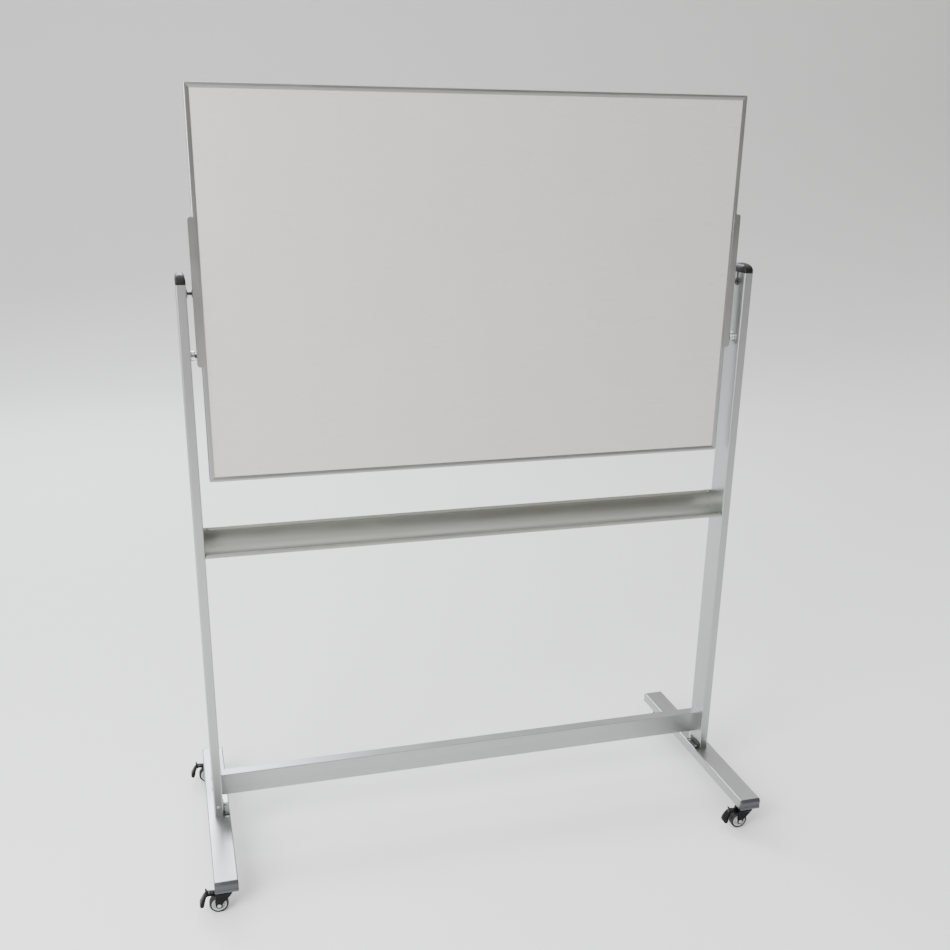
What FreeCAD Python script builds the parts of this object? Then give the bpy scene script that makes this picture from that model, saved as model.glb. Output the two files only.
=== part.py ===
import os

import FreeCAD
import Part
import Sketcher

os.makedirs("parts", exist_ok=True)
doc = FreeCAD.newDocument("rolling_whiteboard")

# Frame: X runs across the board, Y points to the back, Z points up.
# The origin is on the floor, midway between the posts and midway between the wheels.

# ---------------------------------------------------------------- dimensions (millimetres)
DIMENSIONS = {
    "board_width": 1200,
    "board_height": 800,
    "board_depth": 18,
    "board_corner": 4,
    "rail_face": 11,
    "rail_wall": 1.4,
    "rail_chamber": 4.6,
    "panel_clearance": 0.2,
    "sheet_thickness": 0.5,
    "core_thickness": 14,
    "key_arm": 45,
    "pivot_height": 1301,
    "bracket_length": 300,
    "bracket_standoff": 7.5,
    "bracket_web": 2.5,
    "bracket_flange": 15.5,
    "bracket_sheet": 1.8,
    "bracket_corner": 6,
    "bracket_screw_reach": 110,
    "bracket_screw_inset": 4.5,
    "pin_radius": 3.5,
    "pin_head_radius": 7,
    "pin_head_height": 3,
    "pin_collar_radius": 9,
    "pin_collar_height": 2,
    "pin_thread": 7,
    "pin_nut_radius": 6.5,
    "pin_nut_height": 5,
    "running_clearance": 0.05,
    "body_clearance": 0.3,
    "bush_wall": 1.5,
    "bush_flange_radius": 8,
    "bush_flange_height": 1.2,
    "catch_drop": 128,
    "catch_radius": 11,
    "catch_length": 9,
    "catch_body_radius": 7.5,
    "catch_body_depth": 14,
    "plunger_radius": 4,
    "plunger_entry": 1.5,
    "plunger_point": 1.5,
    "plunger_collar_radius": 5,
    "plunger_collar_height": 3,
    "chamber_radius": 5.3,
    "chamber_depth": 3.5,
    "spring_radius": 4,
    "spring_wire_radius": 0.5,
    "post_x": 630,
    "post_width": 21,
    "post_depth": 66,
    "post_wall": 1.8,
    "post_corner": 3,
    "post_above_pivot": 21,
    "cap_band": 4,
    "cap_rise": 17,
    "cap_plug_depth": 12,
    "slot_clearance": 0.3,
    "foot_top": 85,
    "foot_height": 27,
    "foot_width": 52,
    "foot_length": 560,
    "foot_wall": 2,
    "foot_corner": 3,
    "end_cap_thickness": 6,
    "end_cap_plug": 8,
    "bar_top": 176,
    "bar_height": 54,
    "bar_depth": 28,
    "bar_offset": 10,
    "bar_wall": 1.6,
    "bar_corner": 2,
    "bar_plug_length": 30,
    "bar_bolt_radius": 3,
    "bolt_head_radius": 5.5,
    "bolt_head_height": 2.2,
    "bolt_spacing": 30,
    "base_bracket_leg": 14,
    "base_bracket_rise": 13,
    "base_bracket_sheet": 2.5,
    "base_bracket_depth": 50,
    "base_screw_rise": 24,
    "base_screw_spacing": 32,
    "base_plug_height": 35,
    "tray_top": 786,
    "tray_radius": 50,
    "tray_wall": 1.6,
    "tray_rear": 33,
    "tray_front": 34,
    "tray_band": 7,
    "tray_band_depth": 3.2,
    "tray_lip": 8,
    "tray_bead": 1.6,
    "tray_cap_plate": 3,
    "tray_cap_sleeve": 10,
    "tray_cap_skin": 1.2,
    "tray_ear_length": 16,
    "tray_ear_sheet": 2,
    "tray_screw_y": 24,
    "tray_screw_drop": 42,
    "ear_screw_inset": 11,
    "screw_radius": 2.1,
    "screw_head_radius": 3.8,
    "screw_head_height": 1.8,
    "caster_y": 264,
    "caster_trail": 18,
    "wheel_radius": 21,
    "core_radius": 16,
    "tyre_width": 17,
    "hub_width": 19,
    "axle_radius": 3,
    "stem_radius": 4,
    "stem_nut_radius": 7,
    "stem_nut_height": 6,
    "rivet_head_radius": 7,
    "rivet_head_height": 2.6,
    "race_radius": 13,
    "race_height": 3,
    "fork_plate": 5,
    "fork_inner": 22.4,
    "fork_sheet": 2.4,
    "fork_top_radius": 17,
    "fork_boss_radius": 7.5,
    "axle_head_radius": 4.5,
    "axle_head_height": 1.2,
    "lever_width": 18,
    "lever_pin_radius": 2,
    "pedal_width": 25,
}

sheet = doc.addObject("Spreadsheet::Sheet", "Dims")
for row, (alias, value) in enumerate(DIMENSIONS.items(), start=1):
    sheet.set(f"A{row}", alias)
    sheet.set(f"B{row}", str(value))
    sheet.setAlias(f"B{row}", alias)
doc.recompute()

SIDES = (("left", -1), ("right", 1))
NODES = {}


def cells(text):
    """Turns {alias} in an expression into a reference to that cell of the sheet."""
    for alias in DIMENSIONS:
        text = text.replace("{" + alias + "}", f"Dims.{alias}")
    return text


def bind(obj, **sizes):
    """Binds properties to expressions; base_x, base_y and base_z place the object."""
    for name, text in sizes.items():
        path = f"Placement.Base.{name[-1]}" if name.startswith("base_") else name
        obj.setExpression(path, cells(str(text)))
    return obj


def node(name, obj):
    """Keeps an object as a sub-part whose file carries the given name."""
    obj.Label = name
    NODES[name] = obj
    return obj


# ---------------------------------------------------------------- shape helpers
AXIS_TURNS = {
    "x": FreeCAD.Rotation(FreeCAD.Vector(0, 1, 0), 90),
    "y": FreeCAD.Rotation(FreeCAD.Vector(1, 0, 0), -90),
    "z": FreeCAD.Rotation(),
}


def box(name, size, centre_x, centre_y, low_z):
    """A box of size (x, y, z), centred in x and y, standing on low_z."""
    obj = doc.addObject("Part::Box", name)
    return bind(
        obj,
        Length=size[0],
        Width=size[1],
        Height=size[2],
        base_x=f"{centre_x} - ({size[0]}) / 2",
        base_y=f"{centre_y} - ({size[1]}) / 2",
        base_z=low_z,
    )


def rod(name, axis, radius, length, start):
    """A cylinder that begins at start and runs its length along the positive axis."""
    obj = doc.addObject("Part::Cylinder", name)
    obj.Placement.Rotation = AXIS_TURNS[axis]
    return bind(obj, Radius=radius, Height=length, base_x=start[0], base_y=start[1], base_z=start[2])


def side_rod(name, side, radius, low, high, y, z):
    """A cylinder along X between two distances from the middle plane, on one side."""
    start = low if side > 0 else f"-({high})"
    return rod(name, "x", radius, f"({high}) - ({low})", (start, y, z))


def join(name, *parts):
    obj = doc.addObject("Part::MultiFuse", name)
    obj.Shapes = list(parts)
    return obj


def carve(name, base, *tools):
    obj = doc.addObject("Part::Cut", name)
    obj.Base = base
    obj.Tool = tools[0] if len(tools) == 1 else join(f"{name}_tools", *tools)
    return obj


def group(name, *parts):
    """Separate identical solids that share one node."""
    obj = doc.addObject("Part::Compound", name)
    obj.Links = list(parts)
    return obj


PLANES = {"xy": "XY_Plane", "xz": "XZ_Plane", "yz": "YZ_Plane"}


def draw(body, name, plane, points):
    """A sketch on an origin plane: a closed outline whose corners are bound to expressions."""
    sketch = body.newObject("Sketcher::SketchObject", name)
    origin = [item for item in body.Origin.OriginFeatures if item.Role == PLANES[plane]][0]
    sketch.AttachmentSupport = [(origin, "")]
    sketch.MapMode = "FlatFace"
    count = len(points)
    rough = [rough_point(point) for point in points]
    for index in range(count):
        line = Part.LineSegment(rough[index], rough[(index + 1) % count])
        sketch.addGeometry(line, False)
    for index in range(count):
        sketch.addConstraint(Sketcher.Constraint("Coincident", index, 2, (index + 1) % count, 1))
    for index, point in enumerate(points):
        for kind, text, value in zip(("DistanceX", "DistanceY"), point, rough[index]):
            number = sketch.addConstraint(Sketcher.Constraint(kind, -1, 1, index, 1, value))
            sketch.setExpression(f"Constraints[{number}]", cells(str(text)))
    doc.recompute()
    return sketch


def outline(name, plane, points):
    """A new body with one closed outline."""
    body = doc.addObject("PartDesign::Body", name)
    return body, draw(body, f"{name}_sketch", plane, points)


def rough_point(point):
    """The numeric place of a corner, worked out from the same expressions."""
    values = []
    for text in point:
        for alias, value in DIMENSIONS.items():
            text = str(text).replace("{" + alias + "}", str(value))
        values.append(float(FreeCAD.Units.parseQuantity(f"({text}) * 1").Value))
    return FreeCAD.Vector(values[0], values[1], 0)


def pad(name, plane, points, length, middle=False, **place):
    """A straight prism of an outline."""
    body, sketch = outline(name, plane, points)
    feature = body.newObject("PartDesign::Pad", f"{name}_pad")
    feature.Profile = sketch
    feature.Midplane = middle
    feature.setExpression("Length", cells(str(length)))
    doc.recompute()
    bind(body, **place)
    return body


def turned(name, plane, points, axis, **place):
    """A body of revolution of an outline about a sketch axis."""
    body, sketch = outline(name, plane, points)
    feature = body.newObject("PartDesign::Revolution", f"{name}_revolution")
    feature.Profile = sketch
    feature.ReferenceAxis = (sketch, [axis])
    feature.Angle = 360
    doc.recompute()
    bind(body, **place)
    return body


def soften(body, radius, wanted):
    """Rounds the edges of a body's tip that the test picks out."""
    doc.recompute()
    edges = [f"Edge{i + 1}" for i, edge in enumerate(body.Tip.Shape.Edges) if wanted(edge)]
    if not edges:
        raise RuntimeError(f"no edges to round on {body.Name}")
    base = body.Tip
    feature = body.newObject("PartDesign::Fillet", f"{body.Name}_fillet_{len(body.Group)}")
    feature.Base = (base, edges)
    feature.setExpression("Radius", cells(radius))
    body.Tip = feature
    doc.recompute()
    return body


def runs_along(axis):
    """True for straight edges parallel to the axis."""
    direction = {"x": (1, 0, 0), "y": (0, 1, 0), "z": (0, 0, 1)}[axis]

    def test(edge):
        if len(edge.Vertexes) != 2 or not isinstance(edge.Curve, Part.Line):
            return False
        return abs(abs(edge.Curve.Direction.dot(FreeCAD.Vector(direction))) - 1) < 1e-6

    return test


def rectangle(half_a, half_b):
    """Corners of a rectangle centred on the sketch origin."""
    return [
        (f"-({half_a})", f"-({half_b})"),
        (half_a, f"-({half_b})"),
        (half_a, half_b),
        (f"-({half_a})", half_b),
    ]


def tube(name, plane, half_a, half_b, wall, corner, length, along, middle=False, **place):
    """A hollow extrusion with rounded outer edges."""
    outer = pad(name, plane, rectangle(half_a, half_b), length, middle)
    soften(outer, corner, runs_along(along))
    points = rectangle(f"{half_a} - {wall}", f"{half_b} - {wall}")
    inner = draw(outer, f"{name}_bore_sketch", plane, points)
    solid_volume = outer.Shape.Volume
    pocket = outer.newObject("PartDesign::Pocket", f"{name}_bore")
    pocket.Profile = inner
    pocket.Type = "ThroughAll"
    pocket.Midplane = True
    outer.Tip = pocket
    doc.recompute()
    if not outer.Shape.Volume < 0.9 * solid_volume:
        raise RuntimeError(f"the bore of {name} cut nothing")
    bind(outer, **place)
    return outer


# ---------------------------------------------------------------- places used by several pieces
WEB_OUTER = "({board_width} / 2 + {bracket_standoff})"
WEB_INNER = "({board_width} / 2 + {bracket_standoff} - {bracket_web})"
POST_INNER = "({post_x} - {post_width} / 2)"
POST_OUTER = "({post_x} + {post_width} / 2)"
POST_TOP = "({pivot_height} + {post_above_pivot})"
BAR_MIDDLE = "({bar_top} - {bar_height} / 2)"
FOOT_BOTTOM = "({foot_top} - {foot_height})"
CATCH_HEIGHT = "({pivot_height} - {catch_drop})"
BASE_SCREW_HEIGHT = "({foot_top} + {base_screw_rise})"
TRAY_CENTRE_Y = "({tray_rear} - {tray_radius})"
TRAY_FLOOR = "({tray_top} - {tray_radius})"
TRAY_SCREW = ("{tray_screw_y}", "({tray_top} - {tray_screw_drop})")
BOLT_OFFSETS = ("-{bolt_spacing} / 2", "{bolt_spacing} / 2")
EAR_SCREW_X = "({post_x} - {post_width} / 2 - {ear_screw_inset})"


def screw(name, axis, tip, length, inward):
    """A pan-head screw along an axis: its head bears on the point tip, and the shank goes inward."""
    low_shank = list(tip)
    low_head = list(tip)
    step = "xyz".index(axis)
    if inward > 0:
        low_head[step] = f"{tip[step]} - {{screw_head_height}}"
    else:
        low_shank[step] = f"{tip[step]} - ({length})"
    shank = rod(f"{name}_shank", axis, "{screw_radius}", length, low_shank)
    head = rod(f"{name}_head", axis, "{screw_head_radius}", "{screw_head_height}", low_head)
    return join(name, shank, head)


def screw_hole(name, axis, length, start):
    return rod(name, axis, "{screw_radius} + {running_clearance}", length, start)


# ---------------------------------------------------------------- posts and caps
def post(side_name, side):
    body = tube(
        f"{side_name}_post_tube",
        "xy",
        "{post_width} / 2",
        "{post_depth} / 2",
        "{post_wall}",
        "{post_corner}",
        f"{POST_TOP} - {{foot_top}}",
        "z",
        base_x=f"{side} * {{post_x}}",
        base_z="{foot_top}",
    )
    wall_x = f"{side} * ({POST_INNER} + {{post_wall}} / 2)"
    slot = box(
        f"{side_name}_slot",
        ("2 * {post_wall}", "2 * ({pin_radius} + {slot_clearance})", "{post_above_pivot}"),
        wall_x,
        "0",
        "{pivot_height}",
    )
    slot_end = side_rod(
        f"{side_name}_slot_end",
        side,
        "{pin_radius} + {slot_clearance}",
        f"{POST_INNER} - {{post_wall}} / 2",
        f"{POST_INNER} + {{post_wall}} * 3 / 2",
        "0",
        "{pivot_height}",
    )
    catch_hole = side_rod(
        f"{side_name}_catch_hole",
        side,
        "{catch_body_radius} + {running_clearance}",
        f"{POST_INNER} - 1",
        f"{POST_INNER} + {{post_wall}} + 1",
        "0",
        CATCH_HEIGHT,
    )
    bolt_holes = [
        side_rod(
            f"{side_name}_bolt_hole_{number}",
            side,
            "{bar_bolt_radius} + {running_clearance}",
            f"{POST_INNER} - 1",
            f"{POST_OUTER} + 1",
            "{bar_offset}",
            f"{BAR_MIDDLE} + {offset}",
        )
        for number, offset in enumerate(BOLT_OFFSETS)
    ]
    tray_hole = side_rod(
        f"{side_name}_tray_hole",
        side,
        "{screw_radius} + {running_clearance}",
        f"{POST_INNER} - 1",
        f"{POST_INNER} + {{post_wall}} + 1",
        *TRAY_SCREW,
    )
    base_hole = screw_hole(
        f"{side_name}_base_hole",
        "y",
        "2 * {post_wall}",
        (f"{side} * {{post_x}}", "-{post_depth} / 2 - 1", BASE_SCREW_HEIGHT),
    )
    tools = [slot, slot_end, catch_hole, tray_hole, base_hole, *bolt_holes]
    node(f"{side_name}_post", carve(f"{side_name}_post_cut", body, *tools))


def post_cap(side_name, side):
    """A domed cap: a band, an arched top, a plug in the post and a tongue down the slot."""
    arch_radius = "(({post_depth} / 2) ^ 2 + {cap_rise} ^ 2) / (2 * {cap_rise})"
    block = pad(
        f"{side_name}_cap_block",
        "xy",
        rectangle("{post_width} / 2", "{post_depth} / 2"),
        "{cap_band} + {cap_rise}",
        base_x=f"{side} * {{post_x}}",
        base_z=POST_TOP,
    )
    soften(block, "{post_corner}", runs_along("z"))
    arch = rod(
        f"{side_name}_cap_arch",
        "x",
        arch_radius,
        "{post_width} + 2",
        (
            f"{side} * {{post_x}} - {{post_width}} / 2 - 1",
            "0",
            f"{POST_TOP} + {{cap_band}} + {{cap_rise}} - {arch_radius}",
        ),
    )
    dome = doc.addObject("Part::MultiCommon", f"{side_name}_cap_dome")
    dome.Shapes = [block, arch]
    band = pad(
        f"{side_name}_cap_band",
        "xy",
        rectangle("{post_width} / 2", "{post_depth} / 2"),
        "{cap_band}",
        base_x=f"{side} * {{post_x}}",
        base_z=POST_TOP,
    )
    soften(band, "{post_corner}", runs_along("z"))
    gap = "2 * ({post_wall} + 0.2)"
    plug = box(
        f"{side_name}_cap_plug",
        (f"{{post_width}} - {gap}", f"{{post_depth}} - {gap}", "{cap_plug_depth}"),
        f"{side} * {{post_x}}",
        "0",
        f"{POST_TOP} - {{cap_plug_depth}}",
    )
    tongue = box(
        f"{side_name}_cap_tongue",
        ("{post_wall}", "2 * {pin_radius}", "{post_above_pivot} - {pin_radius} - 0.5"),
        f"{side} * ({POST_INNER} + {{post_wall}} / 2)",
        "0",
        "{pivot_height} + {pin_radius} + 0.5",
    )
    node(f"{side_name}_post_cap", join(f"{side_name}_cap", dome, band, plug, tongue))


for side_name, side in SIDES:
    post(side_name, side)
    post_cap(side_name, side)


# ---------------------------------------------------------------- feet
def foot(side_name, side):
    x = f"{side} * {{post_x}}"
    body = tube(
        f"{side_name}_foot_tube",
        "xz",
        "{foot_width} / 2",
        "{foot_height} / 2",
        "{foot_wall}",
        "{foot_corner}",
        "{foot_length}",
        "y",
        middle=True,
        base_x=x,
        base_z="{foot_top} - {foot_height} / 2",
    )
    holes = [
        rod(
            f"{side_name}_stem_hole_{name}",
            "z",
            "{stem_radius} + {running_clearance}",
            "2 * {foot_wall}",
            (x, f"{sign} * {{caster_y}}", f"{FOOT_BOTTOM} - 1"),
        )
        for name, sign in (("front", -1), ("rear", 1))
    ]
    holes += [
        screw_hole(f"{side_name}_foot_screw_hole_{index}", "z", "2 * {foot_wall}", (*place, "{foot_top} - 3"))
        for index, place in enumerate(base_screw_places(side))
    ]
    node(f"{side_name}_foot", carve(f"{side_name}_foot_cut", body, *holes))
    caps = [foot_end_cap(f"{side_name}_{name}", x, sign) for name, sign in (("front", -1), ("rear", 1))]
    node(f"{side_name}_foot_end_caps", group(f"{side_name}_end_caps", *caps))


def base_screw_places(side):
    """Where the two screws of a base bracket go down into the foot."""
    x = f"{side} * ({POST_INNER} - {{base_bracket_leg}} / 2)"
    middle_y = "-{post_depth} / 2 + {base_bracket_depth} / 2"
    return [(x, f"{middle_y} {sign} {{base_screw_spacing}} / 2") for sign in "-+"]


def foot_end_cap(name, x, sign):
    """A cap with a sloping upper edge and a plug inside the foot."""
    plate = pad(
        f"{name}_end_plate",
        "xz",
        rectangle("{foot_width} / 2", "{foot_height} / 2"),
        "{end_cap_thickness}",
        middle=True,
    )
    soften(plate, "{foot_corner}", runs_along("y"))
    bind(
        plate,
        base_x=x,
        base_y=f"{sign} * ({{foot_length}} + {{end_cap_thickness}}) / 2",
        base_z="{foot_top} - {foot_height} / 2",
    )
    slope = pad(
        f"{name}_end_slope",
        "yz",
        [
            (f"{sign} * ({{foot_length}} / 2 + 2)", "{foot_top} + 1"),
            (f"{sign} * ({{foot_length}} / 2 + {{end_cap_thickness}} + 1)", "{foot_top} + 1"),
            (f"{sign} * ({{foot_length}} / 2 + {{end_cap_thickness}} + 1)", "{foot_top} - 6"),
        ],
        "{foot_width} + 2",
        middle=True,
        base_x=x,
    )
    gap = "2 * ({foot_wall} + 0.2)"
    plug = box(
        f"{name}_end_plug",
        (f"{{foot_width}} - {gap}", "{end_cap_plug}", f"{{foot_height}} - {gap}"),
        x,
        f"{sign} * ({{foot_length}} - {{end_cap_plug}}) / 2",
        f"{FOOT_BOTTOM} + {{foot_wall}} + 0.2",
    )
    return join(f"{name}_end_cap", carve(f"{name}_end_face", plate, slope), plug)


for side_name, side in SIDES:
    foot(side_name, side)


# ---------------------------------------------------------------- base brackets, plugs and screws
def base_bracket(side_name, side):
    """An angle that ties the inner side of the post to the top of the foot."""
    middle_y = "-{post_depth} / 2 + {base_bracket_depth} / 2"
    floor_leg = box(
        f"{side_name}_floor_leg",
        ("{base_bracket_leg}", "{base_bracket_depth}", "{base_bracket_sheet}"),
        f"{side} * ({POST_INNER} - {{base_bracket_leg}} / 2)",
        middle_y,
        "{foot_top}",
    )
    wall_leg = box(
        f"{side_name}_wall_leg",
        ("{base_bracket_sheet}", "{base_bracket_depth}", "{base_bracket_rise}"),
        f"{side} * ({POST_INNER} - {{base_bracket_sheet}} / 2)",
        middle_y,
        "{foot_top}",
    )
    holes = [
        screw_hole(
            f"{side_name}_leg_hole_{index}", "z", "2 * {base_bracket_sheet}", (*place, "{foot_top} - 1")
        )
        for index, place in enumerate(base_screw_places(side))
    ]
    angle = join(f"{side_name}_angle", floor_leg, wall_leg)
    node(f"{side_name}_base_bracket", carve(f"{side_name}_base_angle", angle, *holes))


def base_plug(side_name, side):
    """A block inside the foot of the post, which the front screw bites into."""
    gap = "2 * ({post_wall} + 0.2)"
    block = box(
        f"{side_name}_plug_block",
        (f"{{post_width}} - {gap}", f"{{post_depth}} - {gap}", "{base_plug_height}"),
        f"{side} * {{post_x}}",
        "0",
        "{foot_top}",
    )
    start = (f"{side} * {{post_x}}", "-{post_depth} / 2", BASE_SCREW_HEIGHT)
    hole = screw_hole(f"{side_name}_plug_hole", "y", "16", start)
    return carve(f"{side_name}_base_plug", block, hole)


base_screws = []
for side_name, side in SIDES:
    base_bracket(side_name, side)
    front = (f"{side} * {{post_x}}", "-{post_depth} / 2", BASE_SCREW_HEIGHT)
    base_screws.append(screw(f"{side_name}_front_screw", "y", front, "14", 1))
    for index, place in enumerate(base_screw_places(side)):
        top = (*place, "{foot_top} + {base_bracket_sheet}")
        base_screws.append(screw(f"{side_name}_leg_screw_{index}", "z", top, "9", -1))
node("base_screws", group("base_screw_group", *base_screws))
node("base_plugs", group("base_plug_group", *[base_plug(name, side) for name, side in SIDES]))


# ---------------------------------------------------------------- crossbar
crossbar = tube(
    "crossbar_tube",
    "yz",
    "{bar_depth} / 2",
    "{bar_height} / 2",
    "{bar_wall}",
    "{bar_corner}",
    f"2 * {POST_INNER}",
    "x",
    middle=True,
    base_y="{bar_offset}",
    base_z=BAR_MIDDLE,
)
node("crossbar", crossbar)

bar_plugs = []
bar_bolts = []
for side_name, side in SIDES:
    gap = "2 * ({bar_wall} + 0.1)"
    block = box(
        f"{side_name}_bar_block",
        ("{bar_plug_length}", f"{{bar_depth}} - {gap}", f"{{bar_height}} - {gap}"),
        f"{side} * ({POST_INNER} - {{bar_plug_length}} / 2)",
        "{bar_offset}",
        f"{BAR_MIDDLE} - {{bar_height}} / 2 + {{bar_wall}} + 0.1",
    )
    holes = []
    for index, offset in enumerate(BOLT_OFFSETS):
        place = ("{bar_offset}", f"{BAR_MIDDLE} + {offset}")
        inner_end = f"{POST_INNER} - {{bar_plug_length}} * 0.8"
        hole_name = f"{side_name}_plug_bore_{index}"
        hole_radius = "{bar_bolt_radius} + {running_clearance}"
        holes.append(side_rod(hole_name, side, hole_radius, f"{inner_end} - 1", f"{POST_INNER} + 1", *place))
        shank_name = f"{side_name}_bolt_shank_{index}"
        shank = side_rod(shank_name, side, "{bar_bolt_radius}", inner_end, f"{POST_OUTER} + 0.5", *place)
        head_name = f"{side_name}_bolt_head_{index}"
        head_end = f"{POST_OUTER} + {{bolt_head_height}}"
        head = side_rod(head_name, side, "{bolt_head_radius}", POST_OUTER, head_end, *place)
        bar_bolts.append(join(f"{side_name}_bolt_{index}", shank, head))
    bar_plugs.append(carve(f"{side_name}_bar_plug", block, *holes))
node("crossbar_end_plugs", group("bar_plug_group", *bar_plugs))
node("crossbar_bolts", group("bar_bolt_group", *bar_bolts))


# ---------------------------------------------------------------- pen tray
def tray_hollow(name, radius, floor_front, low_x, high_x):
    """The scooped space above the tray: a quarter round at the rear and a flat front."""
    length = f"({high_x}) - ({low_x})"
    scoop = rod(f"{name}_scoop", "x", radius, length, (low_x, TRAY_CENTRE_Y, "{tray_top}"))
    scoop.Angle = 90
    flat = box(
        f"{name}_flat",
        (length, f"{TRAY_CENTRE_Y} + ({floor_front})", f"{radius} + 10"),
        f"(({low_x}) + ({high_x})) / 2",
        f"({TRAY_CENTRE_Y} - ({floor_front})) / 2",
        f"{{tray_top}} - ({radius})",
    )
    return join(name, scoop, flat)


def tray_block(name, low_x, high_x, radius, front):
    """The solid that a scoop of one radius rests in, cut off at the tray's top and front."""
    hollow = tray_hollow(f"{name}_form", radius, front, low_x, high_x)
    limits = box(
        f"{name}_limits",
        (f"({high_x}) - ({low_x})", "{tray_rear} + {tray_front}", "{tray_radius}"),
        f"(({low_x}) + ({high_x})) / 2",
        "({tray_rear} - {tray_front}) / 2",
        TRAY_FLOOR,
    )
    block = doc.addObject("Part::MultiCommon", name)
    block.Shapes = [hollow, limits]
    return block


tray_end = f"({POST_INNER} - {{tray_cap_plate}})"
tray_inner = "({tray_radius} - {tray_wall})"
tray_lip_inner = "({tray_front} - {tray_wall})"
shell = carve(
    "tray_shell",
    tray_block("tray_outer", f"-{tray_end}", tray_end, "{tray_radius}", "{tray_front}"),
    tray_hollow("tray_inner", tray_inner, tray_lip_inner, f"-{tray_end} - 1", f"{tray_end} + 1"),
)
lip_cut = box(
    "tray_lip_cut",
    (f"2 * {tray_end} + 2", "{tray_wall} + 4", "{tray_radius}"),
    "0",
    "-{tray_front} + {tray_wall} / 2",
    f"{TRAY_FLOOR} + {{tray_lip}}",
)
lip_bead = rod(
    "tray_lip_bead",
    "x",
    "{tray_bead}",
    f"2 * {tray_end}",
    (f"-{tray_end}", "-{tray_front} + {tray_bead}", f"{TRAY_FLOOR} + {{tray_lip}} - 0.4"),
)
rear_band = box(
    "tray_rear_band",
    (f"2 * {tray_end}", "{tray_band_depth}", "{tray_band}"),
    "0",
    "{tray_rear} - {tray_band_depth} / 2",
    "{tray_top} - {tray_band}",
)
ear_holes = [
    screw_hole(
        f"{side_name}_ear_hole",
        "y",
        "{tray_band_depth} + 2",
        (f"{side} * {EAR_SCREW_X}", "{tray_rear} - {tray_band_depth} - 1", "{tray_top} - {tray_band} / 2"),
    )
    for side_name, side in SIDES
]
tray = join("tray_profile", carve("tray_open", shell, lip_cut), lip_bead, rear_band)
node("pen_tray", carve("tray_cut", tray, *ear_holes))


def tray_end_cap(side_name, side):
    """An end plate against the post, with a sleeve that follows the tray and an ear behind it."""

    def span(low, high):
        return (low, high) if side > 0 else (f"-({high})", f"-({low})")

    cap_inner = "({tray_radius} - {tray_wall} - {tray_cap_skin})"
    cap_front = "({tray_front} - {tray_wall} - {tray_cap_skin})"
    sleeve_end = f"({tray_end} - {{tray_cap_sleeve}})"
    plate_span = span(tray_end, POST_INNER)
    plate = box(
        f"{side_name}_tray_plate_block",
        ("{tray_cap_plate}", "{tray_rear} + {tray_front}", "{tray_radius}"),
        f"{side} * ({tray_end} + {{tray_cap_plate}} / 2)",
        "({tray_rear} - {tray_front}) / 2",
        TRAY_FLOOR,
    )
    opening_span = span(f"{sleeve_end} - 1", f"{POST_INNER} + 1")
    opening = tray_hollow(f"{side_name}_cap_opening", cap_inner, cap_front, *opening_span)
    front_cut = box(
        f"{side_name}_cap_front_cut",
        ("{tray_cap_sleeve} + 20", "20", "{tray_radius}"),
        f"{side} * {tray_end}",
        "-{tray_front}",
        f"{TRAY_FLOOR} + {{tray_lip}} - 2.3",
    )
    sleeve = tray_block(f"{side_name}_sleeve_form", *span(sleeve_end, tray_end), tray_inner, tray_lip_inner)
    band_cut = box(
        f"{side_name}_sleeve_band_cut",
        ("{tray_cap_sleeve} + 2", "30", "{tray_band} + 1"),
        f"{side} * ({tray_end} - {{tray_cap_sleeve}} / 2)",
        "{tray_rear}",
        "{tray_top} - {tray_band} - 0.3",
    )
    body = carve(
        f"{side_name}_tray_cap_cut",
        join(f"{side_name}_tray_cap_solid", plate, carve(f"{side_name}_sleeve", sleeve, band_cut)),
        opening,
        front_cut,
    )
    ear = box(
        f"{side_name}_tray_ear",
        ("{tray_ear_length} + {tray_cap_plate}", "{tray_ear_sheet}", "{tray_band} + 2"),
        f"{side} * ({POST_INNER} - ({{tray_ear_length}} + {{tray_cap_plate}}) / 2)",
        "{tray_rear} + {tray_ear_sheet} / 2",
        "{tray_top} - {tray_band} - 2",
    )
    place = ("{tray_rear} - 2", "{tray_top} - {tray_band} / 2")
    ear_hole = screw_hole(f"{side_name}_cap_ear_hole", "y", "8", (f"{side} * {EAR_SCREW_X}", *place))
    plate_low = plate_span[0]
    wall_hole = screw_hole(
        f"{side_name}_cap_wall_hole", "x", "{tray_cap_plate} + 2", (f"{plate_low} - 1", *TRAY_SCREW)
    )
    cap = join(f"{side_name}_tray_cap_join", body, ear)
    node(f"{side_name}_tray_end_cap", carve(f"{side_name}_tray_cap", cap, ear_hole, wall_hole))


tray_screws = []
for side_name, side in SIDES:
    tray_end_cap(side_name, side)
    wall_place = (f"{side} * {tray_end}", *TRAY_SCREW)
    tray_screws.append(screw(f"{side_name}_tray_screw", "x", wall_place, "8", side))
    ear_place = (
        f"{side} * {EAR_SCREW_X}",
        "{tray_rear} - {tray_band_depth}",
        "{tray_top} - {tray_band} / 2",
    )
    tray_screws.append(screw(f"{side_name}_ear_screw", "y", ear_place, "7", 1))
node("tray_screws", group("tray_screw_group", *tray_screws))


# ---------------------------------------------------------------- board
board_block = pad(
    "board_block",
    "xz",
    rectangle("{board_width} / 2", "{board_height} / 2"),
    "{board_depth}",
    middle=True,
)
soften(board_block, "{board_corner}", runs_along("y"))
bind(board_block, base_z="{pivot_height}")


def board_box(name, inset, depth, shrink_depth="0"):
    """A box centred on the board, smaller than it by the inset all round."""
    size = (
        f"{{board_width}} - 2 * ({inset})",
        f"{depth} - {shrink_depth}",
        f"{{board_height}} - 2 * ({inset})",
    )
    return box(name, size, "0", "0", f"{{pivot_height}} - {{board_height}} / 2 + {inset}")


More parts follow.
